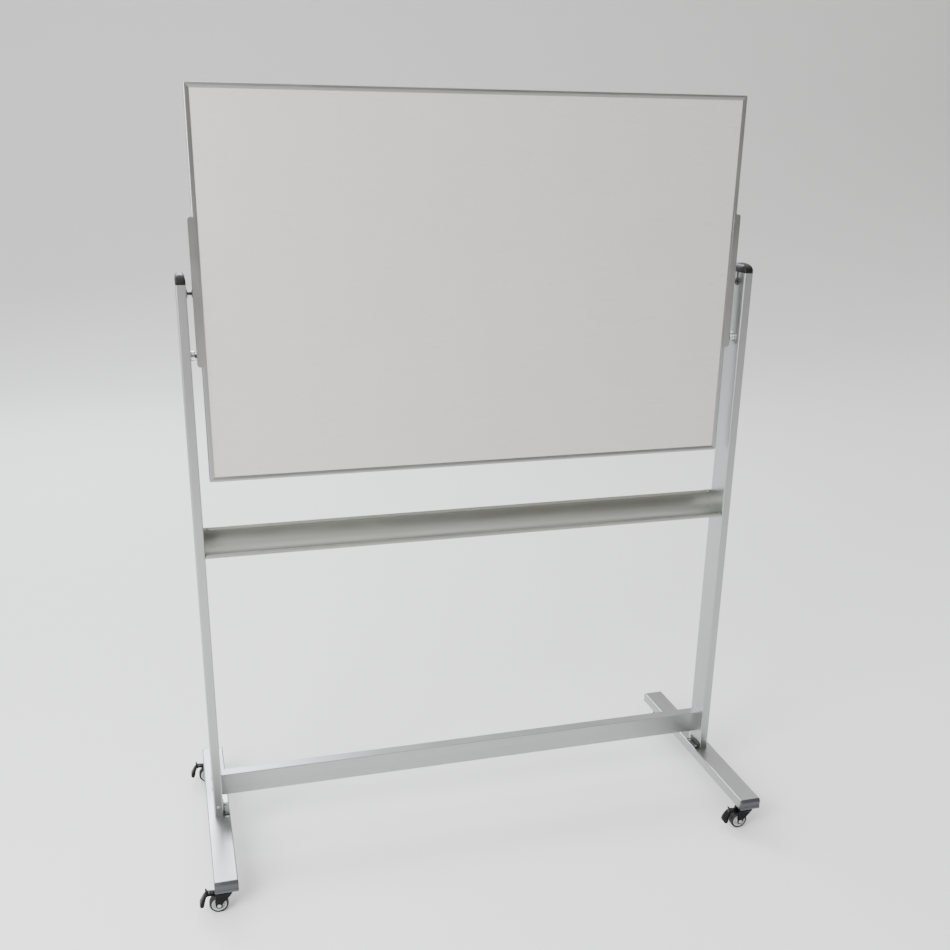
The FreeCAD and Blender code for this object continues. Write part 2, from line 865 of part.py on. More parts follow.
groove_inset = "({rail_wall} + {rail_chamber} + 1.2)"
panel_depth = "({core_thickness} + 2 * {sheet_thickness})"
chamber_depth = "({board_depth} - 2 * {rail_wall})"
chamber = carve(
    "rail_chamber_ring",
    board_box("chamber_outer", "{rail_wall}", chamber_depth),
    board_box("chamber_inner", "({rail_wall} + {rail_chamber})", f"{chamber_depth} + 2"),
)
bracket_screw_x = "({board_width} / 2 - {bracket_screw_inset})"
bracket_screw_holes = [
    screw_hole(
        f"{side_name}_rail_screw_hole_{index}",
        "y",
        "{board_depth} / 2 + 2",
        (
            f"{side} * {bracket_screw_x}",
            "0",
            f"{{pivot_height}} + {sign} * {{bracket_screw_reach}}",
        ),
    )
    for side_name, side in SIDES
    for index, sign in enumerate((-1, 1))
]
frame_ring = carve(
    "board_frame",
    board_block,
    board_box("board_window", "{rail_face}", "{board_depth} + 4"),
    board_box("panel_groove", groove_inset, panel_depth),
    chamber,
    *bracket_screw_holes,
)
RAILS = (
    ("top_rail", "x", 1),
    ("bottom_rail", "x", -1),
    ("left_rail", "z", -1),
    ("right_rail", "z", 1),
)
for rail_name, along, sign in RAILS:
    reach = {"x": "{board_width} / 2", "z": "{board_height} / 2"}
    across = "z" if along == "x" else "x"
    corners = []
    for end, step in ((-1, 5), (1, 5), (1, -20), (-1, -20)):
        long_place = f"{end} * ({reach[along]} + {step})"
        cross_place = f"{sign} * ({reach[across]} + {step})"
        corners.append((long_place, cross_place) if along == "x" else (cross_place, long_place))
    sector = pad(
        f"{rail_name}_sector", "xz", corners, "{board_depth} + 4", middle=True, base_z="{pivot_height}"
    )
    rail = doc.addObject("Part::MultiCommon", f"{rail_name}_common")
    rail.Shapes = [frame_ring, sector]
    node(rail_name, rail)

panel_inset = f"({groove_inset} + {{panel_clearance}})"
node("board_core", board_box("board_core", panel_inset, "{core_thickness}"))
for face_name, sign in (("front", -1), ("rear", 1)):
    writing_sheet = board_box(f"{face_name}_sheet", panel_inset, "{sheet_thickness}")
    sheet_y = f"{sign} * ({{core_thickness}} + {{sheet_thickness}}) / 2 - {{sheet_thickness}} / 2"
    node(f"{face_name}_writing_sheet", bind(writing_sheet, base_y=sheet_y))

keys = []
key_width = "({rail_chamber} - 0.4)"
for side_name, side in SIDES:
    for level_name, level in (("lower", -1), ("upper", 1)):
        size_y = f"{chamber_depth} - 0.4"
        key_x = "({board_width} / 2 - {rail_wall} - 0.2)"
        key_z = "({board_height} / 2 - {rail_wall} - 0.2)"
        flat_arm = box(
            f"{side_name}_{level_name}_flat_arm",
            ("{key_arm}", size_y, key_width),
            f"{side} * ({key_x} - {{key_arm}} / 2)",
            "0",
            f"{{pivot_height}} + {level} * ({key_z} - {key_width} / 2) - {key_width} / 2",
        )
        tall_arm = box(
            f"{side_name}_{level_name}_tall_arm",
            (key_width, size_y, "{key_arm}"),
            f"{side} * ({key_x} - {key_width} / 2)",
            "0",
            f"{{pivot_height}} + {level} * ({key_z} - {{key_arm}} / 2) - {{key_arm}} / 2",
        )
        keys.append(join(f"{side_name}_{level_name}_key", flat_arm, tall_arm))
node("corner_keys", group("corner_key_group", *keys))


# ---------------------------------------------------------------- pivot brackets, pins and bushes
def pivot_bracket(side_name, side):
    """A channel over the edge of the board, with the pivot bore and a catch hole at each end."""
    half = "({board_depth} / 2)"
    outer = f"({half} + {{bracket_sheet}})"
    tip = f"({WEB_OUTER} - {{bracket_flange}})"
    points = [
        (WEB_OUTER, f"-{outer}"),
        (WEB_OUTER, outer),
        (tip, outer),
        (tip, half),
        (WEB_INNER, half),
        (WEB_INNER, f"-{half}"),
        (tip, f"-{half}"),
        (tip, f"-{outer}"),
    ]
    channel = pad(
        f"{side_name}_channel",
        "xy",
        [(f"{side} * {x}", y) for x, y in points],
        "{bracket_length}",
        middle=True,
        base_z="{pivot_height}",
    )
    ends = pad(
        f"{side_name}_channel_ends",
        "xz",
        [
            (f"{side} * ({WEB_OUTER} - 2 * {{bracket_flange}})", "-{bracket_length} / 2"),
            (f"{side} * {WEB_OUTER}", "-{bracket_length} / 2"),
            (f"{side} * {WEB_OUTER}", "{bracket_length} / 2"),
            (f"{side} * ({WEB_OUTER} - 2 * {{bracket_flange}})", "{bracket_length} / 2"),
        ],
        "{board_depth} * 2",
        middle=True,
    )
    along_y = runs_along("y")
    soften(ends, "{bracket_corner}", lambda edge: along_y(edge) and edge.Vertexes[0].X * side > 590)
    bind(ends, base_z="{pivot_height}")
    rounded = doc.addObject("Part::MultiCommon", f"{side_name}_channel_rounded")
    rounded.Shapes = [channel, ends]
    span = (f"{WEB_INNER} - 1", f"{WEB_OUTER} + 1")
    bore_radius = "{pin_radius} + {running_clearance} + {bush_wall}"
    tools = [side_rod(f"{side_name}_bush_bore", side, bore_radius, *span, "0", "{pivot_height}")]
    for index, sign in enumerate((-1, 1)):
        catch_place = ("0", f"{{pivot_height}} + {sign} * {{catch_drop}}")
        catch_radius = "{plunger_radius} + 0.6"
        tools.append(side_rod(f"{side_name}_catch_bore_{index}", side, catch_radius, *span, *catch_place))
        screw_place = (
            f"{side} * {bracket_screw_x}",
            "0",
            f"{{pivot_height}} + {sign} * {{bracket_screw_reach}}",
        )
        tools.append(screw_hole(f"{side_name}_flange_hole_{index}", "y", f"{outer} + 1", screw_place))
    node(f"{side_name}_pivot_bracket", carve(f"{side_name}_bracket_cut", rounded, *tools))


def pivot_pin(side_name, side):
    """A shouldered pin: its head inside the channel, its collar against the post."""
    head_high = f"({WEB_INNER} - {{body_clearance}})"
    head_low = f"({head_high} - {{pin_head_height}})"
    place = ("0", "{pivot_height}")
    head = side_rod(f"{side_name}_pin_head", side, "{pin_head_radius}", head_low, head_high, *place)
    collar = side_rod(
        f"{side_name}_pin_collar",
        side,
        "{pin_collar_radius}",
        f"{POST_INNER} - {{pin_collar_height}}",
        POST_INNER,
        *place,
    )
    shaft_end = f"({POST_INNER} + {{post_wall}} + {{pin_thread}})"
    shaft = side_rod(f"{side_name}_pin_shaft", side, "{pin_radius}", head_high, shaft_end, *place)
    return join(f"{side_name}_pivot_pin", head, collar, shaft)


def pivot_nut(side_name, side):
    """The nut that clamps a pin to the inner wall of its post."""
    low = f"({POST_INNER} + {{post_wall}})"
    hexagon = doc.addObject("Part::Prism", f"{side_name}_nut_prism")
    hexagon.Polygon = 6
    hexagon.Placement.Rotation = AXIS_TURNS["x"]
    bind(
        hexagon,
        Circumradius="{pin_nut_radius}",
        Height="{pin_nut_height}",
        base_x=low if side > 0 else f"-({low} + {{pin_nut_height}})",
        base_z="{pivot_height}",
    )
    bore_radius = "{pin_radius} + {running_clearance}"
    span = (f"{low} - 1", f"{low} + {{pin_nut_height}} + 1")
    bore = side_rod(f"{side_name}_nut_bore", side, bore_radius, *span, "0", "{pivot_height}")
    return carve(f"{side_name}_pivot_nut", hexagon, bore)


def pivot_bush(side_name, side):
    """A flanged plastic bush pressed into the web; the pin runs in it."""
    place = ("0", "{pivot_height}")
    inner = "{pin_radius} + {running_clearance}"
    flange_end = f"({WEB_OUTER} + {{bush_flange_height}})"
    outer = f"{inner} + {{bush_wall}}"
    sleeve = side_rod(f"{side_name}_bush_sleeve", side, outer, WEB_INNER, WEB_OUTER, *place)
    flange = side_rod(f"{side_name}_bush_flange", side, "{bush_flange_radius}", WEB_OUTER, flange_end, *place)
    bore = side_rod(f"{side_name}_bush_hole", side, inner, f"{WEB_INNER} - 1", f"{flange_end} + 1", *place)
    return carve(f"{side_name}_pivot_bush", join(f"{side_name}_bush_solid", sleeve, flange), bore)


bracket_screws = []
for side_name, side in SIDES:
    pivot_bracket(side_name, side)
    for index, sign in enumerate((-1, 1)):
        tip = (
            f"{side} * {bracket_screw_x}",
            "{board_depth} / 2 + {bracket_sheet}",
            f"{{pivot_height}} + {sign} * {{bracket_screw_reach}}",
        )
        bracket_screws.append(screw(f"{side_name}_bracket_screw_{index}", "y", tip, "7", -1))
node("bracket_screws", group("bracket_screw_group", *bracket_screws))
node("pivot_pins", group("pivot_pin_group", *[pivot_pin(name, side) for name, side in SIDES]))
node("pivot_nuts", group("pivot_nut_group", *[pivot_nut(name, side) for name, side in SIDES]))
node("pivot_bushes", group("pivot_bush_group", *[pivot_bush(name, side) for name, side in SIDES]))


# ---------------------------------------------------------------- spring catches
def catch(side_name, side):
    """A chromed barrel in the post with a sprung plunger that drops into the pivot bracket."""
    place = ("0", CATCH_HEIGHT)
    face = f"({POST_INNER} - {{catch_length}})"
    chamber_start = f"({face} + {{chamber_depth}})"
    tail_end = f"({POST_INNER} + {{catch_body_depth}})"
    chamber_end = f"({tail_end} - 1.5)"
    tip = f"({WEB_OUTER} - {{plunger_entry}})"
    collar_low = f"({chamber_start} + {{body_clearance}})"
    collar_high = f"({collar_low} + {{plunger_collar_height}})"

    cup = side_rod(f"{side_name}_cup", side, "{catch_radius}", face, POST_INNER, *place)
    tail = side_rod(f"{side_name}_tail", side, "{catch_body_radius}", POST_INNER, tail_end, *place)
    guide_radius = "{plunger_radius} + {running_clearance}"
    guide = side_rod(f"{side_name}_guide", side, guide_radius, f"{face} - 1", chamber_end, *place)
    chamber = side_rod(f"{side_name}_chamber", side, "{chamber_radius}", chamber_start, chamber_end, *place)
    barrel = carve(f"{side_name}_barrel", join(f"{side_name}_barrel_solid", cup, tail), guide, chamber)
    node(f"{side_name}_catch_barrel", barrel)

    nose_low = f"{tip} + {{plunger_point}}"
    nose = side_rod(f"{side_name}_nose", side, "{plunger_radius}", nose_low, collar_high, *place)
    low, high = f"({tip})", f"({tip} + {{plunger_point}})"
    point = doc.addObject("Part::Cone", f"{side_name}_point")
    point.Placement.Rotation = AXIS_TURNS["x"]
    bind(
        point,
        Radius1="{plunger_radius} * 0.6" if side > 0 else "{plunger_radius}",
        Radius2="{plunger_radius}" if side > 0 else "{plunger_radius} * 0.6",
        Height="{plunger_point}",
        base_x=low if side > 0 else f"-{high}",
        base_z=CATCH_HEIGHT,
    )
    collar = side_rod(f"{side_name}_collar", side, "{plunger_collar_radius}", collar_low, collar_high, *place)
    node(f"{side_name}_catch_plunger", join(f"{side_name}_plunger", nose, point, collar))

    wire = doc.addObject("Part::Circle", f"{side_name}_spring_wire")
    helix = doc.addObject("Part::Helix", f"{side_name}_spring_path")
    spring_low = f"({collar_high} + {{spring_wire_radius}} + 0.1)"
    spring_high = f"({chamber_end} - {{spring_wire_radius}} - 0.1)"
    spring_length = f"({spring_high} - {spring_low})"
    bind(helix, Radius="{spring_radius}", Height=spring_length, Pitch=f"{spring_length} / 6")
    helix.Placement.Rotation = AXIS_TURNS["x"]
    spring_start = spring_low if side > 0 else f"-{spring_high}"
    bind(helix, base_x=spring_start, base_z=CATCH_HEIGHT)
    bind(wire, Radius="{spring_wire_radius}")
    wire.Placement.Rotation = AXIS_TURNS["x"].multiply(FreeCAD.Rotation(FreeCAD.Vector(1, 0, 0), 90))
    bind(wire, base_x=spring_start, base_z=f"{CATCH_HEIGHT} - {{spring_radius}}")
    coil = doc.addObject("Part::Sweep", f"{side_name}_spring")
    coil.Sections = [wire]
    coil.Spine = (helix, [])
    coil.Solid = True
    coil.Frenet = True
    node(f"{side_name}_catch_spring", coil)


for side_name, side in SIDES:
    catch(side_name, side)


# ---------------------------------------------------------------- casters
# Each caster trails to one side of its stem: -1 towards the left, 1 towards the right.
CASTERS = (
    ("front_left", -1, -1, -1),
    ("front_right", 1, -1, -1),
    ("rear_left", -1, 1, -1),
    ("rear_right", 1, 1, 1),
)
AXLE_HEIGHT = "{wheel_radius}"
RACE_BOTTOM = f"({FOOT_BOTTOM} - {{race_height}})"
FORK_TOP = f"({RACE_BOTTOM} - {{body_clearance}})"
PLATE_BOTTOM = f"({FORK_TOP} - {{fork_plate}})"
LEVER_PIVOT = ("-22", f"({PLATE_BOTTOM} - 3.7)")


def caster_stem(name, x, y):
    """A stem through the foot: race above the fork, rivet head below its plate, nut inside the foot."""
    race = rod(f"{name}_race", "z", "{race_radius}", "{race_height}", (x, y, RACE_BOTTOM))
    head_low = f"({PLATE_BOTTOM} - {{body_clearance}} - {{rivet_head_height}})"
    head = rod(f"{name}_rivet_head", "z", "{rivet_head_radius}", "{rivet_head_height}", (x, y, head_low))
    shank_length = f"{FOOT_BOTTOM} + 12 - {head_low}"
    shank = rod(f"{name}_stem_shank", "z", "{stem_radius}", shank_length, (x, y, head_low))
    nut = doc.addObject("Part::Prism", f"{name}_stem_nut")
    nut.Polygon = 6
    bind(
        nut,
        Circumradius="{stem_nut_radius}",
        Height="{stem_nut_height}",
        base_x=x,
        base_y=y,
        base_z=f"{FOOT_BOTTOM} + {{foot_wall}}",
    )
    return join(f"{name}_stem", race, head, shank, nut)


def caster_fork(name, x, y, trail):
    """A plastic fork: a round top plate and two cheeks that taper down to the axle."""
    points = [
        ("15", FORK_TOP),
        ("-22", FORK_TOP),
        ("-27", f"{PLATE_BOTTOM} - 2"),
        ("-25.5", AXLE_HEIGHT),
        ("-10.5", AXLE_HEIGHT),
        ("13", f"{PLATE_BOTTOM} - 5"),
    ]
    cheeks = pad(
        f"{name}_cheeks",
        "xz",
        [(f"{-trail} * ({px})", pz) for px, pz in points],
        "{fork_inner} + 2 * {fork_sheet}",
        middle=True,
        base_x=x,
        base_y=y,
    )
    plate = rod(f"{name}_plate", "z", "{fork_top_radius}", "{fork_plate}", (x, y, PLATE_BOTTOM))
    axle_x = f"{x} + {trail} * {{caster_trail}}"
    half = "({fork_inner} / 2 + {fork_sheet})"
    boss_start = (axle_x, f"{y} - {half}", AXLE_HEIGHT)
    boss = rod(f"{name}_boss", "y", "{fork_boss_radius}", f"2 * {half}", boss_start)
    inside = box(f"{name}_inside", ("70", "{fork_inner}", f"{PLATE_BOTTOM}"), x, y, "0")
    stem_bore = rod(
        f"{name}_stem_bore",
        "z",
        "{stem_radius} + {running_clearance}",
        "{fork_plate} + 4",
        (x, y, f"{PLATE_BOTTOM} - 2"),
    )
    across = f"2 * {half} + 2"
    axle_bore = rod(
        f"{name}_axle_bore",
        "y",
        "{axle_radius} + {running_clearance}",
        across,
        (axle_x, f"{y} - {half} - 1", AXLE_HEIGHT),
    )
    pivot_bore = rod(
        f"{name}_pivot_bore",
        "y",
        "{lever_pin_radius} + {running_clearance}",
        across,
        (f"{x} + {-trail} * ({LEVER_PIVOT[0]})", f"{y} - {half} - 1", LEVER_PIVOT[1]),
    )
    solid = join(f"{name}_fork_solid", cheeks, plate, boss)
    node(f"{name}_caster_fork", carve(f"{name}_fork", solid, inside, stem_bore, axle_bore, pivot_bore))
    axle_half = f"({half} + {{axle_head_height}})"
    axle_start = (axle_x, f"{y} - {axle_half}", AXLE_HEIGHT)
    axle = rod(f"{name}_axle_rod", "y", "{axle_radius}", f"2 * {axle_half}", axle_start)
    heads = [
        rod(
            f"{name}_axle_head_{index}",
            "y",
            "{axle_head_radius}",
            "{axle_head_height}",
            (axle_x, start, AXLE_HEIGHT),
        )
        for index, start in enumerate((f"{y} - {axle_half}", f"{y} + {half}"))
    ]
    node(f"{name}_caster_axle", join(f"{name}_axle", axle, *heads))


def caster_wheel(name, x, y, trail):
    """A plastic core on the axle with a moulded tyre round it."""
    axle_x = f"{x} + {trail} * {{caster_trail}}"
    place = {"base_x": axle_x, "base_y": y, "base_z": AXLE_HEIGHT}
    half_hub = "{hub_width} / 2"
    half_core = "({tyre_width} / 2 - 1)"
    half_web = "3"
    bore = "{axle_radius} + {running_clearance}"
    upper = [
        (bore, half_hub),
        ("6.5", half_hub),
        ("7", half_web),
        ("12.5", half_web),
        ("13", half_core),
        ("{core_radius}", half_core),
    ]
    lower = [(radius, f"-({width})") for radius, width in reversed(upper)]
    core = turned(f"{name}_core", "xy", upper + lower, "V_Axis", **place)
    node(f"{name}_wheel_core", core)
    half_tyre = "{tyre_width} / 2"
    tread = [
        ("{core_radius}", half_tyre),
        ("{wheel_radius} - 2", half_tyre),
        ("{wheel_radius} - 0.6", f"{half_tyre} - 1"),
        ("{wheel_radius}", f"{half_tyre} - 3"),
    ]
    mirror = [(radius, f"-({width})") for radius, width in reversed(tread)]
    node(f"{name}_tyre", turned(f"{name}_tyre_ring", "xy", tread + mirror, "V_Axis", **place))


def brake_lever(name, x, y, trail):
    """A rocker on its own pin: a short upper tab and a long pedal that hangs behind the wheel."""
    base = LEVER_PIVOT[1]
    profile = [
        ("-19", f"{base} + 2.8"),
        ("-30", f"{base} + 3.4"),
        ("-39", f"{base} + 5.4"),
        ("-42.5", f"{base} + 10"),
        ("-46", f"{base} + 10"),
        ("-45.5", f"{base} + 4"),
        ("-53", "40"),
        ("-57", "31"),
        ("-53.5", "30"),
        ("-49.5", "36"),
        ("-41", f"{base} - 1"),
        ("-30", f"{base} - 0.4"),
        ("-26", f"{base} - 2.6"),
        ("-19", f"{base} - 2.6"),
    ]
    pedal = [
        ("-52.5", "41"),
        ("-59.5", "27"),
        ("-61.5", "15"),
        ("-57", "14.5"),
        ("-55", "25"),
        ("-49.5", "36"),
    ]
    place = {"base_x": x, "base_y": y}
    arm = pad(
        f"{name}_lever_arm",
        "xz",
        [(f"{-trail} * ({px})", pz) for px, pz in profile],
        "{lever_width}",
        middle=True,
        **place,
    )
    plate = pad(
        f"{name}_pedal",
        "xz",
        [(f"{-trail} * ({px})", pz) for px, pz in pedal],
        "{pedal_width}",
        middle=True,
        **place,
    )
    half = "({fork_inner} / 2 + {fork_sheet})"
    pin_x = f"{x} + {-trail} * ({LEVER_PIVOT[0]})"
    pin = rod(f"{name}_lever_pin", "y", "{lever_pin_radius}", f"2 * {half}", (pin_x, f"{y} - {half}", base))
    node(f"{name}_brake_lever", join(f"{name}_lever", arm, plate, pin))


stems = []
for name, x_sign, y_sign, trail in CASTERS:
    x = f"{x_sign} * {{post_x}}"
    y = f"{y_sign} * {{caster_y}}"
    stems.append(caster_stem(name, x, y))
    caster_fork(name, x, y, trail)
    caster_wheel(name, x, y, trail)
    brake_lever(name, x, y, trail)
node("caster_stems", group("caster_stem_group", *stems))


# ---------------------------------------------------------------- checks and export
doc.recompute()
for obj in doc.Objects:
    if "Invalid" in obj.State or "Error" in obj.State:
        raise RuntimeError(f"{obj.Name} failed: {obj.State}")
for name, obj in NODES.items():
    if obj.Shape.isNull() or not obj.Shape.isValid():
        raise RuntimeError(f"{name} has no valid shape")
    if obj.Shape.Volume <= 0:
        raise RuntimeError(f"{name} has no volume")
for name, obj in NODES.items():
    obj.Shape.exportStep(f"parts/{name}.step")
print(len(NODES), "sub-parts")
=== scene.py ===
"""The looks of a rolling whiteboard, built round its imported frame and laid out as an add-on.

The board turns over on two pivot pins between the posts, sprung catches hold it upright, and the
stand rolls on four casters with brakes. Each operator makes one piece, or one group of like pieces.
Lengths are millimetres until a mesh is made, and X runs across, Y to the back and Z up.
"""

from types import SimpleNamespace

import bmesh
import bpy
import numpy as np
from bpy.props import FloatProperty, FloatVectorProperty, PointerProperty
from mathutils import Matrix, Vector
from mathutils.geometry import tessellate_polygon


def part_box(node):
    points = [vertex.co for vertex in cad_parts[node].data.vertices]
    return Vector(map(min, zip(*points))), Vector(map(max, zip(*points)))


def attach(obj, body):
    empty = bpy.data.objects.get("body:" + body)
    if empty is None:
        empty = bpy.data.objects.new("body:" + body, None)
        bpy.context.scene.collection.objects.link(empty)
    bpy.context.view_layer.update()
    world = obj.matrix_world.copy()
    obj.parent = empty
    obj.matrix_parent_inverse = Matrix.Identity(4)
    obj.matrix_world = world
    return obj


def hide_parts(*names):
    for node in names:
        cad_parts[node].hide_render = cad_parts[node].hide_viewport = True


bl_info = {
    "name": "Rolling Whiteboard",
    "version": (1, 0, 0),
    "blender": (4, 5, 0),
    "location": "View3D > Sidebar > Whiteboard",
    "description": "Builds a whiteboard that turns over in a stand on casters",
    "category": "Add Mesh",
}

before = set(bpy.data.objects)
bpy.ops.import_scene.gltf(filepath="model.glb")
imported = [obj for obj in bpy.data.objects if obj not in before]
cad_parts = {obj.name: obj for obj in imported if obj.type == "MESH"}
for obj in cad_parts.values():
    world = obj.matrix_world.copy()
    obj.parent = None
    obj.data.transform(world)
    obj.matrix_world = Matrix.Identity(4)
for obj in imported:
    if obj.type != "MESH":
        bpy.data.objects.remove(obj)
MM = 0.001
SIDES = (("left", -1), ("right", 1))
CASTERS = ("front_left", "front_right", "rear_left", "rear_right")
AXES = {"x": (0, 1, 2), "y": (1, 2, 0), "z": (2, 0, 1)}
FULL_TURN = 2 * np.pi
SHARP_ANGLE = np.radians(38)


# ---------------------------------------------------------------- places read from the frame
def low(node, axis):
    """The lowest place of a node along an axis, in millimetres."""
    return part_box(node)[0]["xyz".index(axis)] / MM


def high(node, axis):
    """The highest place of a node along an axis, in millimetres."""
    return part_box(node)[1]["xyz".index(axis)] / MM


def middle(node):
    """The centre of a node's box, in millimetres."""
    return (np.array(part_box(node)[0]) + np.array(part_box(node)[1])) / 2 / MM


def linear(code):
    """Turns an sRGB hex colour into linear red, green and blue."""
    values = np.array([int(code[place : place + 2], 16) for place in (1, 3, 5)]) / 255
    return tuple(np.where(values <= 0.04045, values / 12.92, ((values + 0.055) / 1.055) ** 2.4).tolist())


# ---------------------------------------------------------------- what a user may change
def length(name, description, value):
    """A length property whose default is given in millimetres."""
    return FloatProperty(name=name, description=description, default=value * MM, min=0, unit="LENGTH")


def colour(name, description, code):
    """A colour property whose default is an sRGB hex value."""
    return FloatVectorProperty(
        name=name, description=description, default=linear(code), min=0, max=1, size=3, subtype="COLOR"
    )


class WhiteboardSizes(bpy.types.PropertyGroup):
    """Sizes of the pieces that are shaped here."""

    rail_face: length("Rail Face", "Width of the frame seen from the front", 11)
    rail_edge: length("Rail Edge", "Rounding along the outer edges of the frame", 2.6)
    board_corner: length("Board Corner", "Rounding of the board's corners", 4)
    cap_band: length("Cap Band", "Height of the upright band of a post cap", 4)
    cap_rise: length("Cap Rise", "Height of the dome above the band", 17)
    tray_radius: length("Tray Radius", "Outer radius of the pen tray's scoop", 50)
    tray_wall: length("Tray Wall", "Thickness of the pen tray", 1.6)
    tray_lip: length("Tray Lip", "Height of the pen tray's front lip", 8)
    tray_band: length("Tray Band", "Height of the band along the tray's rear edge", 7)
    wheel_radius: length("Wheel Radius", "Radius of a caster wheel", 21)
    tyre_width: length("Tyre Width", "Width of a caster tyre", 17)
    pedal_width: length("Pedal Width", "Width of a brake pedal", 25)


class WhiteboardColours(bpy.types.PropertyGroup):
    """Colours of the finishes."""

    enamel: colour("Enamel", "Writing faces", "#C4C1BD")
    aluminium: colour("Aluminium", "Anodised posts, feet, crossbar and frame", "#A2A3A3")
    tray: colour("Tray", "Anodised pen tray", "#979992")
    black_plastic: colour("Black Plastic", "Post caps and small fittings", "#161615")
    # End caps: a dark grey that is partly the plastic's own colour and partly painted dark reflection,
    # standing in for glossy caps mirroring dark surroundings
    grey_plastic: colour("Grey Plastic", "End caps of the feet", "#33363B")
    caster_plastic: colour("Caster Plastic", "Forks and brake levers", "#050505")
    wheel_plastic: colour("Wheel Plastic", "Wheel cores", "#B9BABA")
    rubber: colour("Rubber", "Tyres", "#080808")


def sizes(context):
    """The sizes in millimetres."""
    group = context.scene.whiteboard_sizes
    return SimpleNamespace(**{key: getattr(group, key) / MM for key in WhiteboardSizes.__annotations__})


# ---------------------------------------------------------------- outlines
def rounded(corners, radii, steps=5):
    """An outline with each corner swapped for an arc that touches both of its sides.

    The arc's centre lies on the corner's bisector, at radius / sin(half the corner's angle).
    """
    corners = np.asarray(corners, float)
    radii = np.broadcast_to(np.asarray(radii, float), len(corners))[:, None]
    back = np.roll(corners, 1, 0) - corners
    ahead = np.roll(corners, -1, 0) - corners
    back /= np.linalg.norm(back, axis=1, keepdims=True)
    ahead /= np.linalg.norm(ahead, axis=1, keepdims=True)
    half = np.arccos(np.clip((back * ahead).sum(1, keepdims=True), -1, 1)) / 2
    bisector = back + ahead
    bisector /= np.maximum(np.linalg.norm(bisector, axis=1, keepdims=True), 1e-9)
    centre = corners + bisector * radii / np.sin(half)
    start = corners + back * radii / np.tan(half) - centre
    end = corners + ahead * radii / np.tan(half) - centre
    turn = np.maximum(np.pi - 2 * half, 1e-5)[:, None]
    t = np.linspace(0, 1, steps + 1)[None, :, None]
    arc = (np.sin((1 - t) * turn) * start[:, None] + np.sin(t * turn) * end[:, None]) / np.sin(turn)
    points = (centre[:, None] + arc).reshape(-1, 2)
    fresh = np.linalg.norm(points - np.roll(points, 1, 0), axis=1) > 1e-4
    return points[fresh]


def rounded_rectangle(half_a, half_b, radius, steps=6):
    """A rectangle about the origin with rounded corners, anticlockwise."""
    corners = [(-half_a, -half_b), (half_a, -half_b), (half_a, half_b), (-half_a, half_b)]
    return rounded(corners, radius, steps)


def inset(outline, distance):
    """An anticlockwise outline moved inwards, each point along the normal of its two sides."""
    ahead = np.roll(outline, -1, 0) - outline
    ahead /= np.linalg.norm(ahead, axis=1, keepdims=True)
    side = np.stack([-ahead[:, 1], ahead[:, 0]], 1)
    normal = side + np.roll(side, 1, 0)
    normal /= np.maximum((normal * normal).sum(1, keepdims=True) / 2, 1e-6)
    return outline + normal * distance


def smooth_path(points, steps=6):
    """A curve through points: each span is a cubic whose slopes come from the neighbouring points."""
    points = np.asarray(points, float)
    padded = np.concatenate([2 * points[:1] - points[1:2], points, 2 * points[-1:] - points[-2:-1]])
    a, b, c, d = padded[:-3, None], padded[1:-2, None], padded[2:-1, None], padded[3:, None]
    t = (np.arange(steps) / steps)[None, :, None]
    curve = 0.5 * (2 * b + (c - a) * t + (2 * a - 5 * b + 4 * c - d) * t**2 + (3 * b - a - 3 * c + d) * t**3)
    return np.concatenate([curve.reshape(-1, points.shape[1]), points[-1:]])


# ---------------------------------------------------------------- surfaces: (points, faces)
def grid_faces(rows, columns, loop=False):
    """Four-sided faces over a grid of points that is closed round its columns, and along its rows if loop."""
    row, column = np.meshgrid(np.arange(rows if loop else rows - 1), np.arange(columns), indexing="ij")
    next_row, next_column = (row + 1) % rows, (column + 1) % columns
    corners = [row * columns + column, row * columns + next_column]
    corners += [next_row * columns + next_column, next_row * columns + column]
    return np.stack(corners, -1).reshape(-1, 4).tolist()


def tube_of(grid, capped=True, loop=False):
    """A skin over rings of points (rows, columns, 3), with its two end rings filled in."""
    rows, columns = grid.shape[:2]
    faces = grid_faces(rows, columns, loop)
    if capped and not loop:
        for row in (0, rows - 1):
            ring = [Vector(point) for point in grid[row]]
            faces += [[row * columns + index for index in face] for face in tessellate_polygon([ring])]
    return grid.reshape(-1, 3), faces


def hollow_tube(outer, inner):
    """Two skins over rings of points, one inside the other, joined by flat rims at both ends."""
    rows, outside = outer.shape[:2]
    inside = inner.shape[1]
    shift = rows * outside
    faces = grid_faces(rows, outside)
    faces += [[index + shift for index in face] for face in grid_faces(rows, inside)]
    for row in (0, rows - 1):
        rings = [[Vector(point) for point in outer[row]], [Vector(point) for point in inner[row]]]
        numbers = [row * outside + index for index in range(outside)]
        numbers += [shift + row * inside + index for index in range(inside)]
        faces += [[numbers[index] for index in face] for face in tessellate_polygon(rings)]
    return np.concatenate([outer.reshape(-1, 3), inner.reshape(-1, 3)]), faces


def turned(radius, height, centre, axis, facing=1, steps=48, loop=False):
    """Rings round an axis: each row has one radius and one height, or one of each at every angle."""
    angle = np.linspace(0, FULL_TURN, steps, endpoint=False)
    radius, height = (np.asarray(values, float) for values in (radius, height))
    if radius.ndim == 1:
        radius, height = radius[:, None], height[:, None]
    along, first, second = AXES[axis]
    grid = np.zeros((radius.shape[0], steps, 3))
    grid[..., first] = centre[first] + radius * np.cos(angle)
    grid[..., second] = centre[second] + radius * np.sin(angle)
    grid[..., along] = centre[along] + facing * height
    return tube_of(grid, capped=False, loop=loop)


def turned_outline(outline, centre, axis, facing=1, steps=48, loop=False):
    """A surface of revolution of (radius, height) points."""
    outline = np.asarray(outline)
    return turned(outline[:, 0], outline[:, 1], centre, axis, facing, steps, loop)


